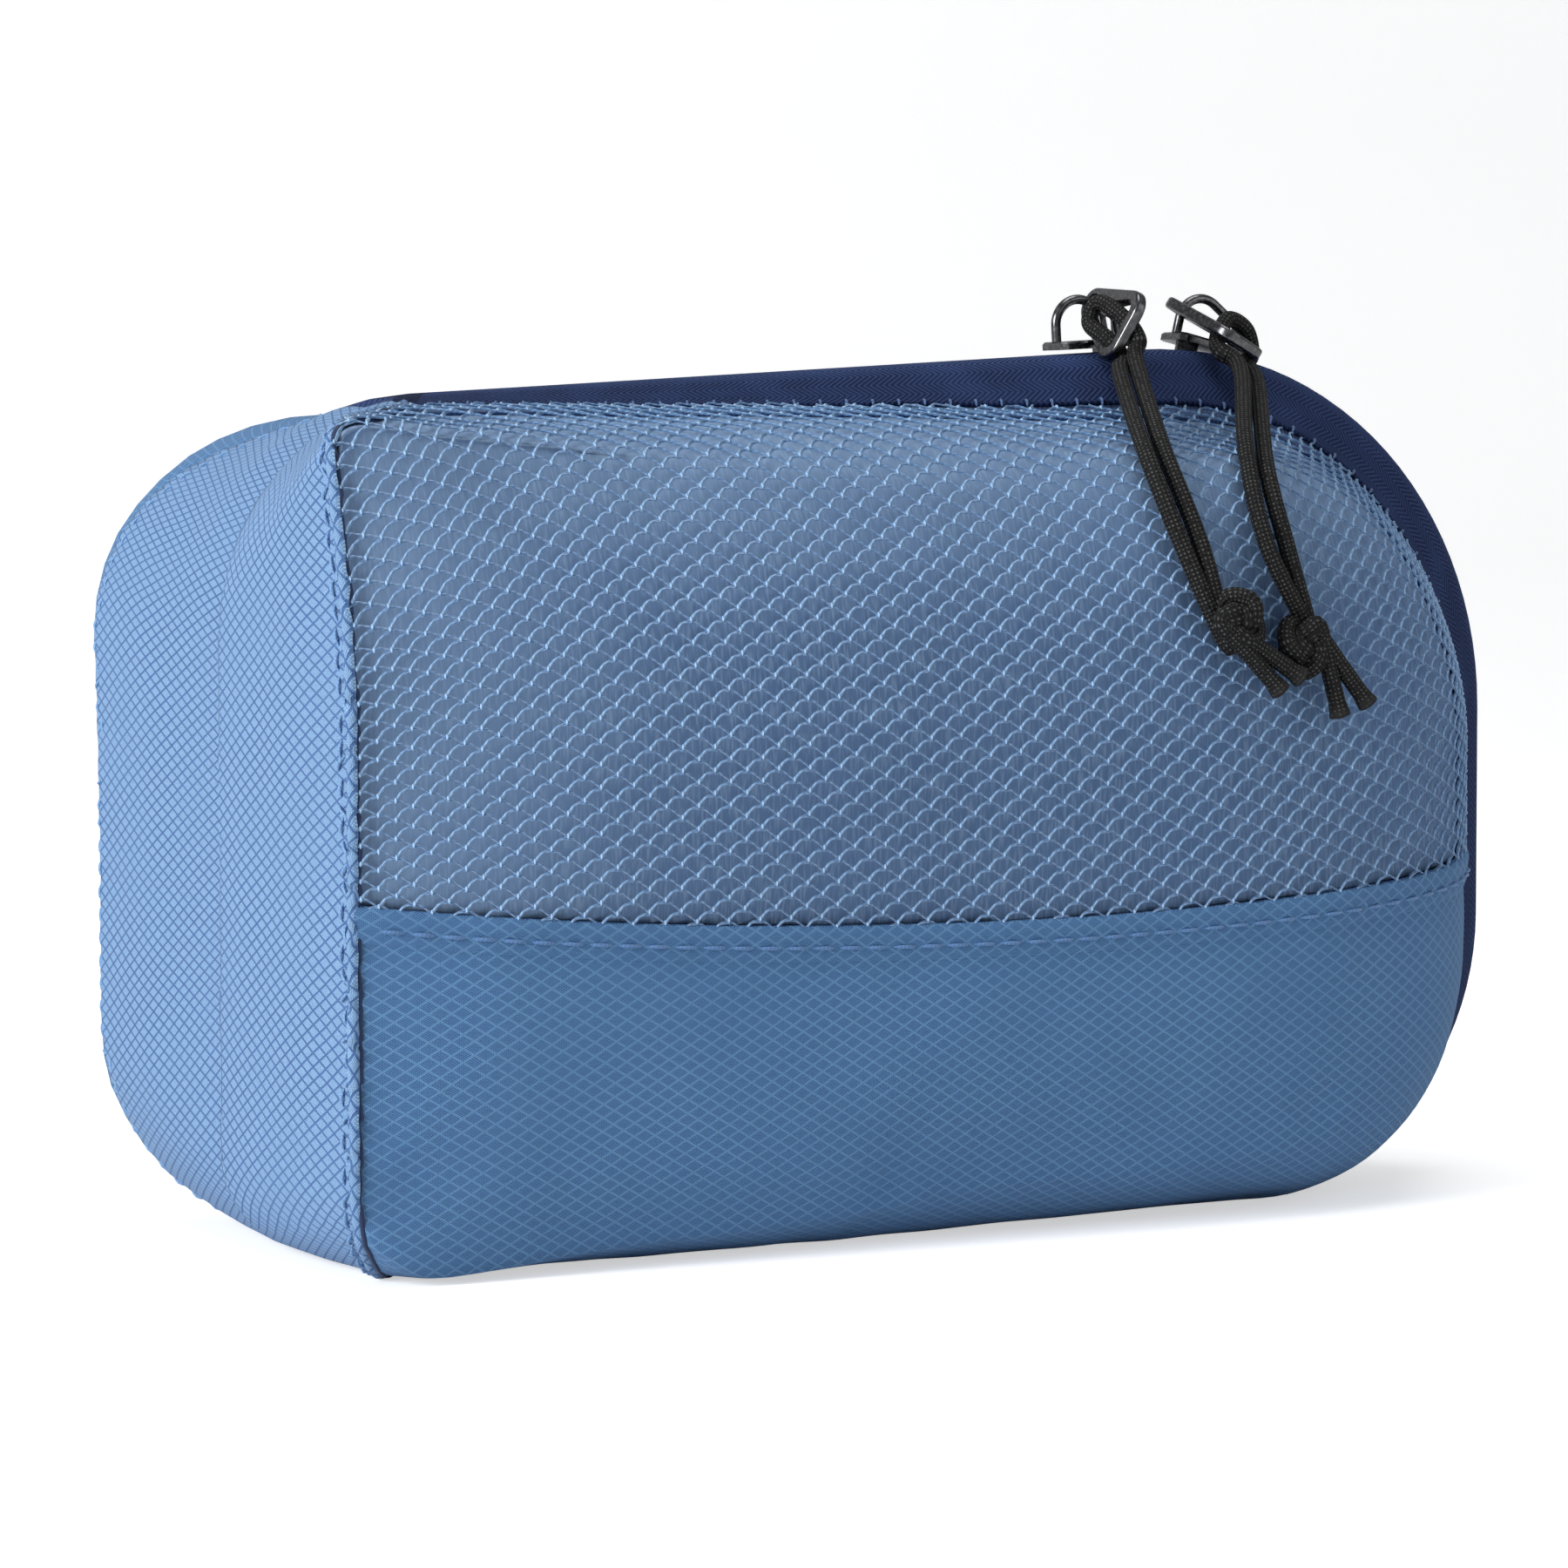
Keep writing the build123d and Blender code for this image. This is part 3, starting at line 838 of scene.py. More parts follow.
def cord_material():
    """Black braided cord with small lighter flecks."""
    shade = Shade("braided_cord", 0.7)
    shade.set("Specular IOR Level", 0.3)
    along, angle, tint, vector = shade.coordinates("yarn")
    run = shade.math("MULTIPLY", along, 2 * math.pi / BRAID_PITCH)
    turn = shade.math("MULTIPLY", angle, BRAID_STRANDS)
    left = shade.math("SINE", shade.math("ADD", run, turn))
    right = shade.math("SINE", shade.math("SUBTRACT", run, turn))
    bumps = shade.math("MULTIPLY_ADD", shade.math("MULTIPLY", left, right), 0.5, 0.5)
    speck = shade.noise(vector, 2.2, 2.0)
    fleck = shade.math("MULTIPLY", shade.step(bumps, 0.6, 0.9), shade.step(speck, 0.36, 0.56))
    colour = shade.mix(fleck, tone(10, 10, 11), tone(86, 86, 84))
    colour = shade.mix(tint, colour, tone(44, 44, 43))
    shade.set("Base Color", colour)
    shade.bump(bumps, 0.22, 0.9)
    return shade.material


def metal_material():
    """Polished gunmetal with fine wear."""
    shade = Shade("gunmetal", 0.25, metallic=1.0)
    position = shade.node("TexCoord", {}).outputs["Object"]
    wear = shade.noise(position, 1600.0, 3.0)
    shade.set("Base Color", shade.mix(shade.step(wear, 0.35, 0.75), tone(92, 92, 95), tone(124, 124, 127)))
    shade.set("Roughness", shade.step(wear, 0.3, 0.8, 0.2, 0.32))
    shade.bump(wear, 0.006, 0.2)
    return shade.material


def coil_material():
    """Dark blue nylon, slightly uneven."""
    shade = Shade("zip_coil_nylon", 0.4)
    vector = shade.coordinates("yarn")[3]
    cloud = shade.noise(vector, 1.5)
    shade.set("Base Color", shade.mix(cloud, tone(18, 26, 52), tone(44, 58, 98)))
    shade.bump(cloud, 0.03, 0.4)
    return shade.material


def plain_cloth(name, dark, light):
    """Plainly woven narrow cloth."""
    shade = Shade(name, 0.75, sheen=0.2)
    along, across, _, _ = shade.coordinates("rim")
    weave = shade.math("MULTIPLY", shade.wave(along, 0.7), shade.wave(across, 0.7))
    shade.set("Base Color", shade.mix(weave, dark, light))
    shade.bump(weave, 0.12, 0.8)
    return shade.material


# ---- Pieces ----------------------------------------------------------------------------------
CLOTH_THICKNESS = 0.55
# The hem is lowest at one place, and rises this much from there to the right-hand end.
HEM_FOLD = 0.5
HEM_RISE = 6.0
HEM_DIP_X = -3.0
# The net starts hidden below the hem, and its yarns are cut off past the panel's edges.
NET_PITCH = 4.25
NET_ROW = 1.42
NET_START = 16.0
NET_END = 76.0
NET_LEFT = LEFT - 30.0
NET_OVERHANG = 60.0
NET_HEM_OVERLAP = 0.6
# Its rows curve up on the right of one place and, high up, down on the left of another.
NET_RISE_START = -30.0
NET_RISE = 0.0014
NET_DROP_START = -48.0
NET_DROP = 0.0072
NET_DROP_HEIGHT = 45.0
# One arch of the net: share of the pitch, rise in rows, yarn radius, half gap of the pair, lightness. The
# lightness is painted highlight, strongest at and beside the junctions.
NET_ARCH = [
    (0.0, 0.0, 0.15, 0.04, 1.0),
    (0.09, 0.33, 0.16, 0.1, 0.8),
    (0.18, 0.64, 0.15, 0.13, 0.6),
    (0.27, 0.8, 0.115, 0.14, 0.4),
    (0.4, 0.84, 0.1, 0.13, 0.35),
    (0.53, 0.84, 0.1, 0.13, 0.35),
    (0.65, 0.76, 0.1, 0.1, 0.3),
    (0.76, 0.56, 0.1, 0.05, 0.3),
    (0.87, 0.32, 0.1, 0.03, 0.3),
    (0.95, 0.14, 0.11, 0.03, 0.6),
]
NET_YARN_SCALE = 1.2
NET_TWISTS = 1.0
NET_MARGIN = 1.2
NET_LIFT = 0.25
NET_YARN_SIDES = 4
# A small loop at each junction: its ends in rows, then lift and radius from its start to its end.
NET_LOOP = (-0.16, 0.3)
NET_LOOP_LIFT = (0.25, 0.41, 0.3)
NET_LOOP_RADII = (0.114, 0.19, 0.133)
BACKING_DEPTH = 1.1
BACKING_THICKNESS = 0.2


def hem_line(u):
    """Fabric height of the hem: lowest in the middle."""
    return HEM_HEIGHT - HEM_FOLD + HEM_RISE * ((u - HEM_DIP_X) / (RIGHT - HEM_DIP_X)) ** 2


def split_at_hem(panel):
    """The front fabric below and above the hem, as two bmeshes."""
    flat = panel.verts.layers.float_vector["flat"]
    place = panel.verts.layers.float_vector.new("place")
    for vertex in panel.verts:
        vertex[place] = vertex.co
        vertex.co = (vertex[flat].x, vertex[flat].y - hem_line(vertex[flat].x), 0)
    everything = list(panel.verts) + list(panel.edges) + list(panel.faces)
    bmesh.ops.bisect_plane(panel, geom=everything, plane_co=(0, 0, 0), plane_no=(0, 1, 0))
    halves = []
    for sign in (-1, 1):
        half = panel.copy()
        layer = half.verts.layers.float_vector["place"]
        drop = [f for f in half.faces if f.calc_center_median().y * sign < 0]
        bmesh.ops.delete(half, geom=drop, context="FACES")
        for vertex in half.verts:
            vertex.co = vertex[layer]
        half.normal_update()
        halves.append(half)
    return halves


def fold(piece):
    """Bakes the piece's transform into its mesh."""
    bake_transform(piece)


def row_height(row, u):
    """Fabric height of a net row's junctions."""
    base = HEM_HEIGHT - NET_START + row * NET_ROW
    rise = NET_RISE * np.maximum(u - NET_RISE_START, 0.0) ** 2
    share = min(1.0, max(0.0, (base - HEM_HEIGHT) / NET_DROP_HEIGHT))
    drop = NET_DROP * share * np.maximum(NET_DROP_START - u, 0.0) ** 2
    return base + rise - drop


def add_strand(build, flat_map, u, v, lift, radii, tint):
    """A net yarn laid on the panel, broken off wherever it leaves the net."""
    strand = []
    for k in range(len(u) + 1):
        place = None
        if k < len(u) and v[k] > hem_line(u[k]) - NET_HEM_OVERLAP:
            place = flat_map.place(u[k], v[k], lift[k])
        if place is not None and place[1] < -TAPE_EDGE - NET_MARGIN:
            strand.append((place, radii[k], tint[k]))
            continue
        if len(strand) > 2:
            places, thick, marks = zip(*strand)
            add_tube(build, places, np.array(thick), NET_YARN_SIDES, tint=marks)
        strand = []


def build_net(flat_map, material):
    """Rows of arched yarn pairs, each row half a stitch along from the last, looped together."""
    build = Build()
    rows = int((HEIGHT_AT_MIDDLE + NET_END - HEM_HEIGHT) / NET_ROW)
    arches = int((RIGHT - LEFT + NET_OVERHANG) / NET_PITCH)
    shares, rises, thick, gaps, marks = np.array(NET_ARCH).T
    for row in range(rows):
        offset = (row % 2) * 0.5
        run = (np.arange(arches)[:, None] + shares[None] + offset).ravel()
        u = NET_LEFT + run * NET_PITCH
        v = row_height(row, u) + np.tile(rises, arches) * NET_ROW
        radii = np.tile(thick, arches) * NET_YARN_SCALE
        tint = np.tile(marks, arches)
        for phase in (0.0, math.pi):
            twist = run * NET_TWISTS * 2 * math.pi + phase
            side = np.tile(gaps, arches) * np.cos(twist)
            lift = NET_LIFT + np.tile(gaps, arches) * np.sin(twist)
            add_strand(build, flat_map, u, v + side, lift, radii, tint)
        for loop in range(arches):
            u = np.full(3, NET_LEFT + (loop + offset) * NET_PITCH)
            v = row_height(row, u) + np.linspace(*NET_LOOP, 3) * NET_ROW
            # Painted highlight: the junction loops take the full lightness.
            add_strand(build, flat_map, u, v, NET_LOOP_LIFT, NET_LOOP_RADII, np.ones(3))
    return build.finish("front_mesh_net", material)


Stitch = namedtuple("Stitch", "pitch length radius lift")
HEM_STITCH = Stitch(3.9, 3.0, 0.26, 0.5)
RIM_STITCH = Stitch(3.75, 1.7, 0.19, 0.1)
END_STITCHES = {"front": Stitch(3.0, 2.2, 0.22, 0.22), "back": Stitch(3.0, 2.2, 0.22, -0.1)}
STITCH_SIDES = 6
STITCH_TINT = 0.6
STITCH_STEP = 0.25
# How far a stitch across its seam slants along it.
STITCH_SLANT = 0.25
# Places along a stitch, as shares of its length from its middle, with the share of its radius there.
STITCH_SHAPE = ((-0.5, 0.35), (-0.3, 0.9), (0.0, 1.0), (0.3, 0.9), (0.5, 0.35))
# How deep a stitch's ends go into the cloth, in radii.
STITCH_DIP = 1.8


def stitch_row(build, path, surface, stitch, across=False):
    """Single stitches laid on the skin, along a path or square to it."""
    points = spaced(path, STITCH_STEP)
    step = int(stitch.pitch / STITCH_STEP)
    for i in range(step, len(points) - step, step):
        tangent = unit(points[i + 1] - points[i - 1])
        _, normal = surface.lay(points[i], 0.0)
        if across:
            tangent = unit(np.cross(normal, tangent) + tangent * STITCH_SLANT)
        places = []
        for share, _ in STITCH_SHAPE:
            height = stitch.lift + stitch.radius * (1.0 - (2 * share) ** 2 * STITCH_DIP)
            places.append(surface.lay(points[i] + tangent * share * stitch.length, height)[0])
        radii = [stitch.radius * thickness for _, thickness in STITCH_SHAPE]
        add_tube(build, places, radii, STITCH_SIDES, tint=[STITCH_TINT] * len(places))


def direction_at(points, i):
    """The way a path runs at one of its points."""
    return unit(points[min(i + 1, len(points) - 1)] - points[max(i - 1, 0)])


def beside(path, surface, shift):
    """The path moved along the skin, to larger x for a positive shift."""
    moved = []
    for i, p in enumerate(path):
        _, normal = surface.lay(p, 0.0)
        way = np.cross(normal, direction_at(path, i))
        if way[0] < 0:
            way = -way
        moved.append(surface.lay(p + way * shift, 0.0)[0])
    return np.array(moved)


SEAM_ROLL_WIDTH = 1.5
SEAM_ROLL_HEIGHT = 0.7
SEAM_ROLL_STEP = 1.2
# The roll's section, as shares of its width and height, and how unevenly it swells along the seam.
SEAM_ROLL_SECTION = ((-0.5, -0.15), (-0.46, 0.45), (-0.25, 0.85), (0.0, 1.0), (0.3, 0.8), (0.5, -0.15))
SEAM_ROLL_UNEVENNESS = 0.25
SEAM_ROLL_SWELL_SIZE = 4.0


def build_seam_roll(name, path, surface, material):
    """A rolled seam edge that stands proud of the skin along a path."""
    points = spaced(path, SEAM_ROLL_STEP)
    rows = []
    for i, p in enumerate(points):
        _, normal = surface.lay(p, 0.0)
        side = unit(np.cross(normal, direction_at(points, i)))
        swelling = 1.0 + SEAM_ROLL_UNEVENNESS * noise.noise(Vector(p) / SEAM_ROLL_SWELL_SIZE)
        height = SEAM_ROLL_HEIGHT * swelling
        rows.append([p + side * a * SEAM_ROLL_WIDTH + normal * b * height for a, b in SEAM_ROLL_SECTION])
    count = len(SEAM_ROLL_SECTION)
    along = np.repeat(np.arange(len(rows)) * SEAM_ROLL_STEP, count)
    across = np.tile([a * SEAM_ROLL_WIDTH for a, _ in SEAM_ROLL_SECTION], len(rows))
    marks = np.stack([along, across, along * 0], 1)
    build = Build()
    build.add(np.array(rows).reshape(-1, 3), quads(len(rows), count), flat=marks, rim=marks)
    return build.finish(name, material)


# The hem's section, from behind the net over the fold and down to the lower edge: height and lift.
HEM_SECTION = (
    (-0.35, -0.5),
    (0.0, 0.15),
    (-0.25, 0.62),
    (-0.9, 0.78),
    (-2.2, 0.62),
    (-2.8, 0.38),
    (-3.6, 0.5),
    (-4.6, 0.05),
)
HEM_STEP = 0.8
# Fabric lengths past the ends of the front in which the hem is looked for.
HEM_REACH = (20.0, 40.0)


def build_hem_band(flat_map, material):
    """The folded top edge of the lower panel, which the net is sewn behind."""
    rows = []
    flats = []
    for u in np.arange(LEFT - HEM_REACH[0], RIGHT + HEM_REACH[1], HEM_STEP):
        line = [flat_map.place(u, hem_line(u) + height, lift) for height, lift in HEM_SECTION]
        if all(p is not None for p in line):
            rows.append(line)
            flats.append([(u, hem_line(u) + height, 0) for height, _ in HEM_SECTION])
    faces = quads(len(rows), len(HEM_SECTION))[:, [0, 3, 2, 1]]
    build = Build()
    build.add(np.array(rows).reshape(-1, 3), faces, flat=np.array(flats, float).reshape(-1, 3))
    return build.finish("front_hem_band", material)


COIL_RADIUS = 0.62
COIL_PITCH = 1.15
COIL_OFFSET = 0.6
COIL_SIDES = 5
COIL_WIRE = 0.26
COIL_GAP = 0.3
COIL_STEPS = 10
ZIP_LINE_STEP = 0.5
ZIP_LINE_BREAK = 2.0


def build_coil(name, side, material):
    """One half of the zip's coil: a helix just under the tape."""
    line = half_grid(-1)[0]
    line = np.array([p for p in spaced(np.vstack([line, line[:1]]), ZIP_LINE_STEP) if p[0] > ZIP_END_X])
    gap = np.linalg.norm(np.diff(line, axis=0), axis=1)
    start = int(np.argmax(gap)) + 1
    if gap.max() > ZIP_LINE_BREAK:
        line = np.vstack([line[start:], line[:start]])
    centre = line.mean(0)
    inward = np.array([unit((centre - p) * [1, 0, 1]) for p in line])
    path = line + inward * (CLOTH_THICKNESS + COIL_RADIUS + COIL_GAP) + [0, side * COIL_OFFSET, 0]
    fine = spaced(path, COIL_PITCH / COIL_STEPS)
    turn = np.arange(len(fine)) * 2 * math.pi / COIL_STEPS + (math.pi if side > 0 else 0.0)
    middle = fine.mean(0)
    out = (middle - fine) * [1, 0, 1]
    out /= np.linalg.norm(out, axis=1)[:, None]
    helix = fine + out * (COIL_RADIUS * np.cos(turn))[:, None]
    helix[:, 1] += COIL_RADIUS * np.sin(turn)
    build = Build()
    add_tube(build, helix, COIL_WIRE, COIL_SIDES)
    return build.finish(name, material)


# ---- Cords ---------------------------------------------------------------------------------------
CORD_RADIUS = 1.12
CORD_SIDES = 14
CORD_STEP = 0.4
CORD_CLEARANCE = 0.2
TIP_RADIUS = 1.5
TIP_LENGTH = 2.2
TIP_END_RADIUS = 0.05
# A doubled overhand knot: each strand follows a trefoil round the knot's middle, opened at one lobe.
KNOT_RADII = (2.4, 1.3)
KNOT_LOBES = (1.0, 0.7)
KNOT_DEPTH = 1.25
KNOT_STAND_OFF = 2.5
KNOT_OPENING = 0.3
KNOT_POINTS = 16
# A pull's ring has its eye, the way it lies and its plane's normal. The hitch is given along the
# ring, across it and out of its plane. Each strand hangs by way of its bends to the knot, whose turn
# is from straight down towards +x. Each tail has such a turn too, and a length.
Pull = namedtuple("Pull", "eye along normal hitch bends knot turn side tails")
PULLS = {
    "left": Pull(
        (33.22, 0.0, 119.72),
        (-0.124, -0.946, -0.297),
        (-0.908, 0.0, 0.378),
        [
            (12.5, -4.0, -2.0),
            (9.0, -2.5, 0.5),
            (5.0, -2.0, 2.0),
            (4.5, 1.0, 2.0),
            (9.0, 1.0, 0.0),
            (12.0, -0.5, -2.0),
        ],
        (
            [(29.0, -14.0, 110.5), (22.5, -32.0, 99.5), (24.5, -38.0, 87.5)],
            [(32.0, -13.0, 112.0), (25.5, -31.0, 101.0), (27.0, -38.0, 88.5)],
        ),
        (29.5, -38.0, 77.5),
        35,
        -1,
        [(45, 13.0), (58, 13.5)],
    ),
    "right": Pull(
        (46.85, 0.0, 119.30),
        (0.372, -0.822, -0.435),
        (0.450, -0.250, 0.857),
        [
            (11.0, -4.0, -2.5),
            (8.5, -2.5, -1.0),
            (7.0, 0.0, 2.0),
            (8.5, 3.0, 2.0),
            (10.0, 5.0, -0.5),
            (11.0, 2.5, -2.5),
        ],
        (
            [(47.5, -14.0, 111.0), (38.0, -31.0, 100.5), (37.0, -38.0, 88.0)],
            [(50.0, -14.0, 109.5), (40.0, -32.5, 98.0), (40.5, -37.5, 87.0)],
        ),
        (42.3, -38.0, 75.5),
        20,
        1,
        [(16, 12.5), (40, 12.5)],
    ),
}


def bearing(turn):
    """The direction on the front that lies turn degrees from straight down towards +x."""
    angle = math.radians(turn)
    return np.array([math.sin(angle), 0.0, -math.cos(angle)])


def strand_points(pull, index, surface):
    """The path of one strand from the ring through the knot to the end of its tail."""
    gap = CORD_RADIUS + CORD_CLEARANCE
    centre = surface.clear(pull.knot, KNOT_STAND_OFF)
    down = bearing(pull.turn)
    beside_way = bearing(pull.turn + 90) * pull.side
    radius, lobe = KNOT_RADII[index], KNOT_LOBES[index]
    points = [np.array(p) for p in pull.bends[index]]
    for s in np.linspace(KNOT_OPENING, 2 * math.pi - KNOT_OPENING, KNOT_POINTS):
        reach = radius + lobe * math.cos(3 * s)
        sideways = reach * math.cos(2 * s) - radius / 2
        depth = np.array([0.0, KNOT_DEPTH * math.sin(3 * s), 0.0])
        points.append(centre + beside_way * sideways + down * reach * math.sin(2 * s) + depth)
    turn, length = pull.tails[index]
    points += [points[-1] + bearing(turn) * length * share for share in (0.5, 1.0)]
    return [surface.clear(p, gap) for p in points]


def hitch_points(pull):
    """The cord's path through the ring, from the first strand to the second."""
    along = unit(np.array(pull.along))
    normal = unit(np.array(pull.normal))
    across = np.cross(normal, along)
    return [np.array(pull.eye) + along * a + across * w + normal * n for a, w, n in pull.hitch]


def build_cord(name, pull, surface, material):
    """One continuous cord: tail, knot, strand, hitch, strand, knot and tail."""
    first, second = [strand_points(pull, index, surface) for index in (0, 1)]
    fine = smooth_path(first[::-1] + hitch_points(pull) + second, CORD_STEP)
    along = distances(fine)
    ends = np.minimum(along, along[-1] - along)
    melted = np.clip(1.0 - ends / TIP_LENGTH, 0.0, 1.0)
    radii = CORD_RADIUS + (TIP_RADIUS - CORD_RADIUS) * melted
    radii[0] = radii[-1] = TIP_END_RADIUS
    build = Build()
    add_tube(build, fine, radii, CORD_SIDES, tint=melted)
    return build.finish(name, material)


# ---- Stage -----------------------------------------------------------------------------------------
CAMERA_AZIMUTH = -27.7
CAMERA_ELEVATION = 3.46
CAMERA_DISTANCE = 0.716
CAMERA_TARGET = Vector((0, 0, 0.057))
LENS = 124.6
SHIFT = (-0.0585, -0.0028)
# The paper looks evenly white to the camera, without lighting the bag more.
PAPER_GLOW = 0.55


def build_camera():
    """The camera, low and to the left of the front."""
    azimuth = math.radians(CAMERA_AZIMUTH)
    elevation = math.radians(CAMERA_ELEVATION)
    way = Vector((
        math.sin(azimuth) * math.cos(elevation),
        -math.cos(azimuth) * math.cos(elevation),
        math.sin(elevation),
    ))
    data = bpy.data.cameras.new("camera")
    data.lens = LENS
    data.shift_x, data.shift_y = SHIFT
    camera = linked("camera", data)
    camera.location = CAMERA_TARGET + way * CAMERA_DISTANCE
    camera.rotation_euler = (-way).to_track_quat("-Z", "Y").to_euler()
    bpy.context.scene.camera = camera


# Each light's name, place, size and power.
LIGHTS = [
    ("key", (-1.45, -0.3, 0.55), 0.8, 21.0),
    ("fill", (0.9, -1.3, 0.6), 1.0, 2.6),
    ("top", (0.1, -0.1, 1.4), 0.9, 6.2),
]
LIGHT_TARGET = Vector((0, 0, 0.06))


def add_light(name, place, size, energy):
    """A soft round light that points at the bag."""
    data = bpy.data.lights.new(name, "AREA")
    data.shape = "DISK"
    data.size = size
    data.energy = energy
    light = linked(name, data)
    light.location = place
    light.rotation_euler = (LIGHT_TARGET - Vector(place)).to_track_quat("-Z", "Y").to_euler()


WORLD_STRENGTH = 0.26


def build_world():
    """Soft light from all round, which looks white where the camera sees past the floor."""
    world = bpy.data.worlds.new("soft_world")
    world.use_nodes = True
    nodes, links = world.node_tree.nodes, world.node_tree.links
    light = nodes["Background"]
    light.inputs["Color"].default_value = (0.95, 0.97, 1.0, 1)
    light.inputs["Strength"].default_value = WORLD_STRENGTH
    paper = nodes.new("ShaderNodeBackground")
    paper.inputs["Color"].default_value = (1, 1, 1, 1)
    mix = nodes.new("ShaderNodeMixShader")
    seen = nodes.new("ShaderNodeLightPath").outputs["Is Camera Ray"]
    links.new(seen, mix.inputs[0])
    links.new(light.outputs[0], mix.inputs[1])
    links.new(paper.outputs[0], mix.inputs[2])
    links.new(mix.outputs[0], nodes["World Output"].inputs["Surface"])
    return world


FLOOR_HALF_WIDTH = 8.0
# Depth and height of the floor's folds, from in front of the bag to the top of the backdrop.
FLOOR_PROFILE = [(-9.0, 0.0), (0.9, 0.0), (1.3, 0.05), (1.6, 0.25), (1.75, 0.6), (1.8, 3.0)]


def build_stage():
    """A pale floor that sweeps up behind the bag, and soft lights."""
    points = [(x, y, z) for x in (-FLOOR_HALF_WIDTH, FLOOR_HALF_WIDTH) for y, z in FLOOR_PROFILE]
    count = len(FLOOR_PROFILE)
    faces = [(i, i + count, i + count + 1, i + 1) for i in range(count - 1)]
    mesh = bpy.data.meshes.new("floor")
    mesh.from_pydata(points, [], faces)
    mesh.shade_smooth()
    shade = Shade("floor_paper", 0.9)
    cloud = shade.noise(shade.node("TexCoord", {}).outputs["Object"], 3.0)
    shade.set("Base Color", shade.mix(cloud, tone(240, 240, 240), tone(246, 246, 246)))
    seen = shade.node("LightPath", {}).outputs["Is Camera Ray"]
    shade.set("Emission Color", (1, 1, 1, 1))
    shade.set("Emission Strength", shade.math("MULTIPLY", seen, PAPER_GLOW))
    mesh.materials.append(shade.material)
    linked("floor", mesh)
    for light in LIGHTS:
        add_light(*light)
    bpy.context.scene.world = build_world()
    bpy.context.scene.view_settings.view_transform = "Standard"


# Height over which the end panel's cloth turns from its lower half to its upper half.
END_TURN_HEIGHT = 25.0


def end_coordinates(panel):
    """Fabric coordinates of the end panel: round the end, and up it."""
    layer = panel.verts.layers.float_vector["flat"]
    middle = HEIGHT_AT_MIDDLE / 2
    for vertex in panel.verts:
        wrapped = max(0.0, vertex.co.x - seam_x(vertex.co.y))
        up = vertex.co.z + wrapped * max(-1.0, min(1.0, (vertex.co.z - middle) / END_TURN_HEIGHT))
        vertex[layer] = (vertex.co.y, up, 0)


def make_materials():
    """Every material, by a short name."""
    # Painted light and shade: the front, back and end panels are one ripstop, given as two copies. The
    # front's copy, also used on the back, is darker and more saturated for the shade. The end's copy is
    # lighter and greyer for the key light and sheen from the left.
    shaded_front_tones = tone(103, 153, 201), tone(64, 110, 161), tone(112, 162, 208)
    lit_end_tones = tone(170, 205, 238), tone(114, 154, 200), tone(66, 106, 162)
    return {
        "front": ripstop("ripstop_front_painted_shade", *shaded_front_tones, 0.6),
        "end": ripstop("ripstop_end_painted_light", *lit_end_tones, 1.0),
        "net": yarn_material("net_yarn", tone(72, 118, 170), tone(158, 196, 232), 0.9),
        "thread": yarn_material("sewing_thread", tone(84, 128, 182), tone(132, 176, 220), 0.5),
        "hem_thread": yarn_material("hem_thread", tone(64, 104, 158), tone(104, 150, 202), 0.5),
        "rim_thread": yarn_material("rim_thread", tone(32, 56, 104), tone(74, 114, 168), 0.5),
        # Painted shadow for the gap beside the corner seam, given a plain weave.
        "painted_seam_shadow": plain_cloth("seam_gap_painted_shadow", tone(20, 40, 78), tone(30, 54, 96)),
        "tape": zip_cloth(),
        "coil": coil_material(),
        "cord": cord_material(),
        "metal": metal_material(),
        "backing": backing_material(),
        "binding": plain_cloth("binding_weave", tone(34, 62, 108), tone(70, 108, 160)),
    }


HEM_STITCH_DROP = 2.8
HEM_STITCH_STEP = 1.0


def build_hem_stitches(flat_map, surface, material):
    """The row of stitches through the hem."""
    path = []
    for u in np.arange(LEFT, RIGHT + HEM_REACH[1], HEM_STITCH_STEP):
        place = flat_map.place(u, hem_line(u) - HEM_STITCH_DROP, 0.0)
        if place is not None:
            path.append(place)
    row = Build()
    stitch_row(row, np.array(path), surface, HEM_STITCH)
    return row.finish("hem_stitches", material)


def build_front(skin, surface, made_of):
    """The lower panel with its hem fold and stitches, and the net over its backing."""
    front = extract(skin, lambda c: zone(c) == "front_panel")
    flat_map = FlatMap(front)
    lower, upper = split_at_hem(front)
    cloth = object_from(lower, "front_lower_cloth", made_of["front"], CLOTH_THICKNESS)
    hem = build_hem_band(flat_map, made_of["front"])
    net = build_net(flat_map, made_of["net"])
    backing = object_from(upper, "front_net_backing", made_of["backing"], BACKING_THICKNESS, -BACKING_DEPTH)
    return {
        "front_lower_panel": [cloth, hem],
        "front_mesh_panel": [net, backing],
        "hem_stitching": [build_hem_stitches(flat_map, surface, made_of["hem_thread"])],
    }


BINDING_HALF_WIDTH = 2.5
BINDING_THICKNESS = 0.4
BINDING_GAP = 0.15
END_BINDING_WIDTH = 5.0
END_STITCH_SHIFT = 2.0
EDGE_TOLERANCE = 0.3
# Painted shadow: a dark tube laid in the gap beside the corner seam.
SEAM_GAP_SHIFT = 0.85
SEAM_GAP_RADIUS = 0.36
SEAM_GAP_SIDES = 8


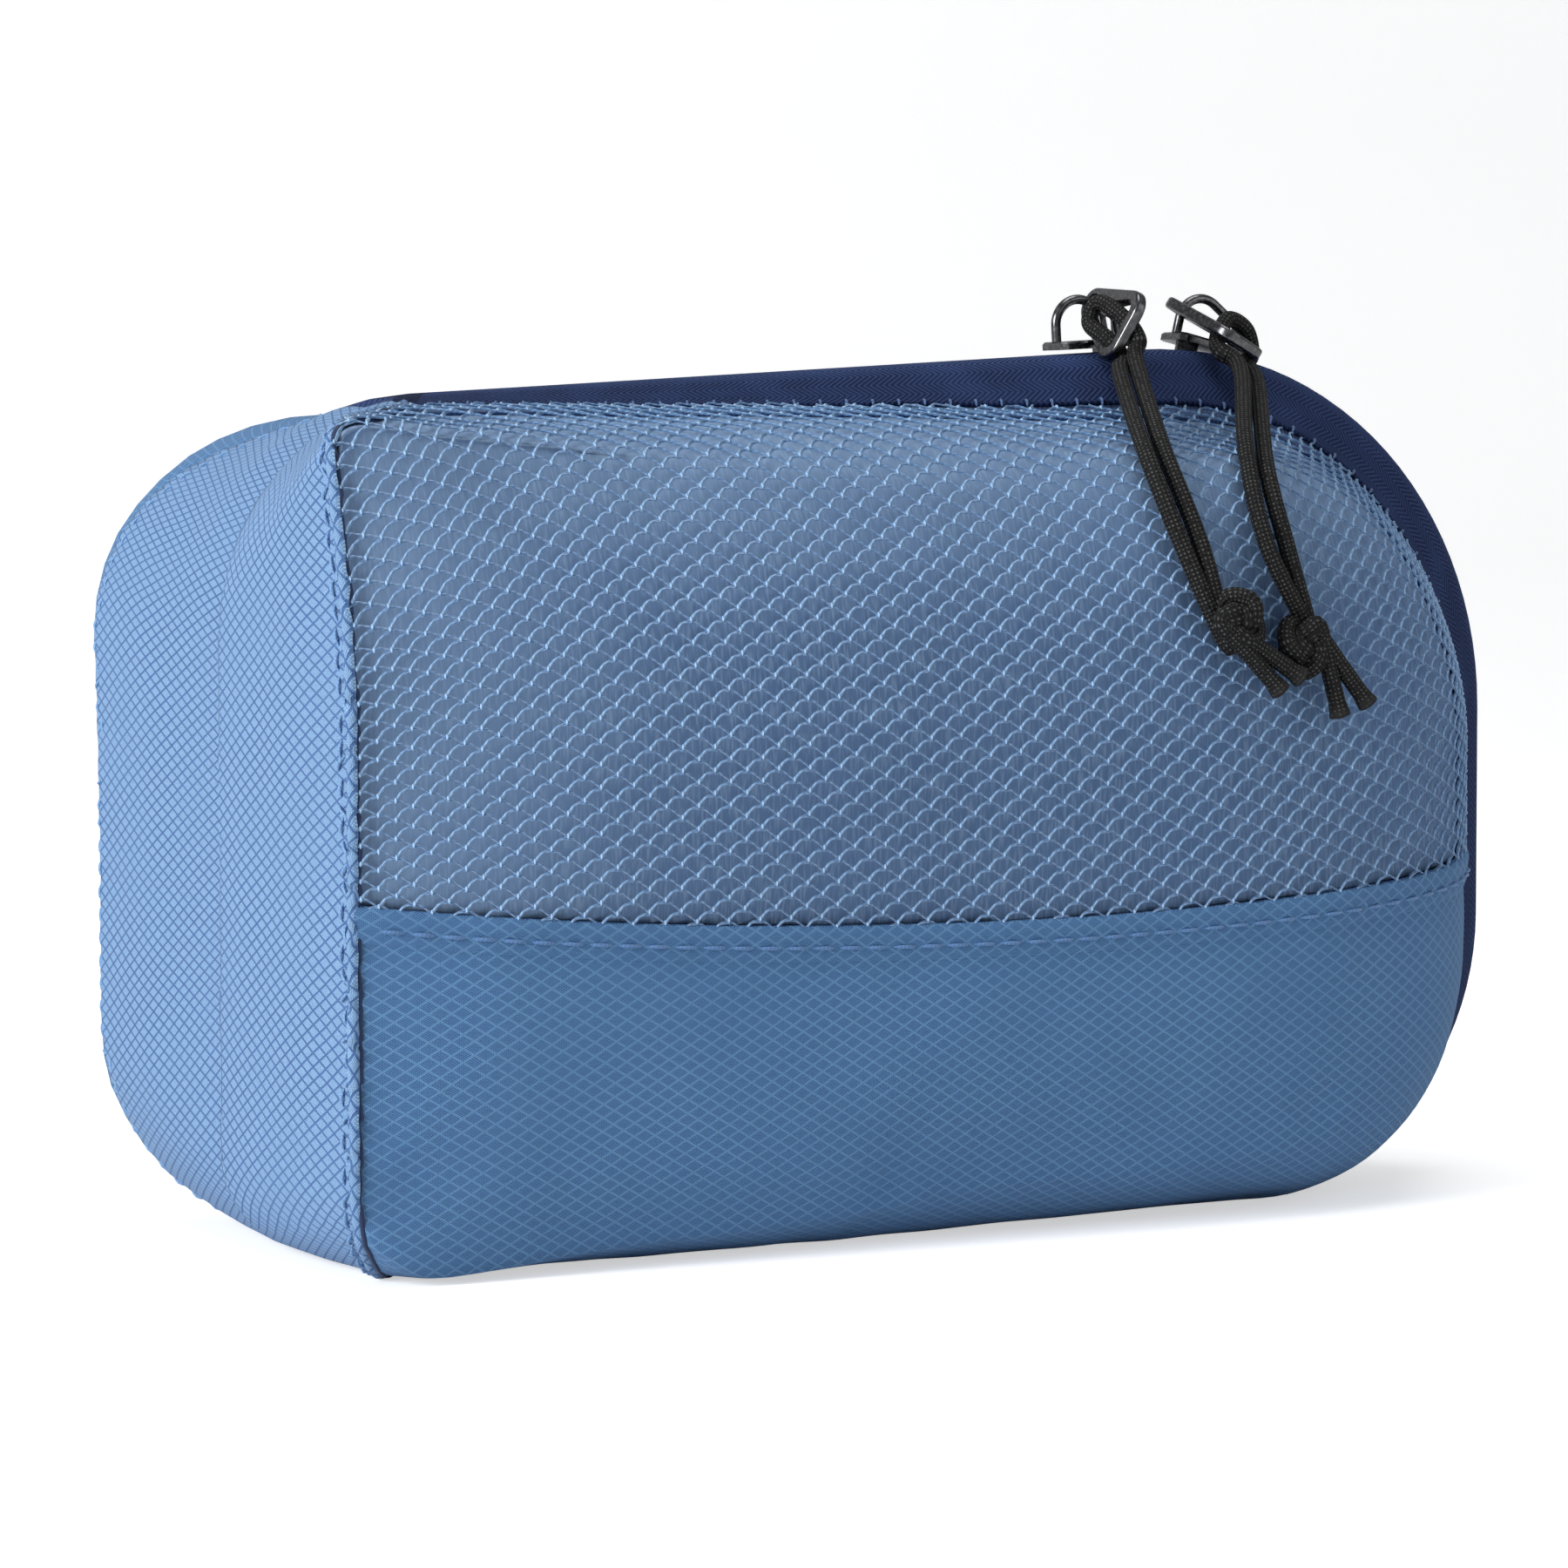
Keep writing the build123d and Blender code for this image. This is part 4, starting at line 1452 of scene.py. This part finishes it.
def build_side(side, skin, end, surface, made_of):
    """Tape, coil, bindings and stitching of the front or the back."""
    sign = -1 if side == "front" else 1
    low, high = TAPE_EDGE - BINDING_HALF_WIDTH, TAPE_EDGE + BINDING_HALF_WIDTH

    def by_end_seam(c):
        return high < sign * c.y < SEAM_DEPTH and end_edge(c.y) - END_BINDING_WIDTH < c.x < end_edge(c.y)

    band = extract(skin, lambda c: zone(c) == side + "_tape")
    rim = extract(skin, lambda c: low < sign * c.y < high and c.x > end_edge(c.y))
    binding = made_of["binding"], BINDING_THICKNESS, -CLOTH_THICKNESS - BINDING_GAP
    pieces = {
        side + "_zip_tape": [object_from(band, side + "_tape_cloth", made_of["tape"], CLOTH_THICKNESS)],
        side + "_zip_coil": [build_coil(side + "_coil", sign, made_of["coil"])],
        side + "_rim_binding": [object_from(rim, side + "_rim_tape", *binding)],
        f"end_{side}_binding": [object_from(extract(skin, by_end_seam), f"end_{side}_tape", *binding)],
    }
    edge = boundary_path(band, lambda c: abs(abs(c.y) - TAPE_EDGE) < EDGE_TOLERANCE)
    ticks = Build()
    stitch_row(ticks, edge, surface, RIM_STITCH, across=True)
    pieces[side + "_rim_stitching"] = [ticks.finish(side + "_rim_ticks", made_of["rim_thread"])]
    seam = boundary_path(end, lambda c: sign * c.y > TAPE_EDGE - EDGE_TOLERANCE)
    row = Build()
    stitch_row(row, beside(seam, surface, -END_STITCH_SHIFT), surface, END_STITCHES[side])
    topstitch = [row.finish(f"end_{side}_stitches", made_of["thread"])]
    if side == "front":
        topstitch.append(build_seam_roll("end_front_roll", seam, surface, made_of["end"]))
        # Painted shadow: a dark navy tube beside the seam roll stands for the shade in its gap.
        gap = Build()
        add_tube(gap, beside(seam, surface, SEAM_GAP_SHIFT), SEAM_GAP_RADIUS, SEAM_GAP_SIDES)
        topstitch.append(gap.finish("end_front_gap_painted_shadow", made_of["painted_seam_shadow"]))
    pieces[f"end_{side}_topstitch"] = topstitch
    return pieces


def dress_pulls(surface, cord, metal):
    """Braided cords on the pulls, and metal on their sliders, straps and rings."""
    for side, pull in PULLS.items():
        made = build_cord(side + "_braided_cord", pull, surface, cord)
        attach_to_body(made, side + "_cord")
        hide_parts(side + "_pull_cord")
        for part in ("slider_body", "slider_strap", "pull_ring"):
            node = frame["nodes"][side + "_" + part]
            node.data.materials.clear()
            node.data.materials.append(metal)


def attach(pieces):
    """Each piece stands for its node and rides on the shell, but the pieces of the flap, the end panel and
    its front seam only have their transforms baked.
    """
    flap = set(frame["record"]["behaviour"]["bodies"]["flap"])
    folded = flap | {"end_panel", "end_front_topstitch", "end_front_binding"}
    for node, made in pieces.items():
        for piece in made:
            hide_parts(node)
            if node in folded:
                fold(piece)
            else:
                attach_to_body(piece, "shell")


def main():
    made_of = make_materials()
    skin = build_skin()
    surface = Surface(skin)
    cut_zones(skin)
    end = extract(skin, lambda c: zone(c) == "end")
    end_coordinates(end)
    back = extract(skin, lambda c: zone(c) == "back_panel")
    pieces = build_front(skin, surface, made_of)
    pieces["end_panel"] = [object_from(end, "end_cloth", made_of["end"], CLOTH_THICKNESS)]
    for side in ("front", "back"):
        pieces.update(build_side(side, skin, end, surface, made_of))
    pieces["back_panel"] = [object_from(back, "back_cloth", made_of["front"], CLOTH_THICKNESS)]
    dress_pulls(surface, made_of["cord"], made_of["metal"])
    attach(pieces)
    build_camera()
    build_stage()


main()
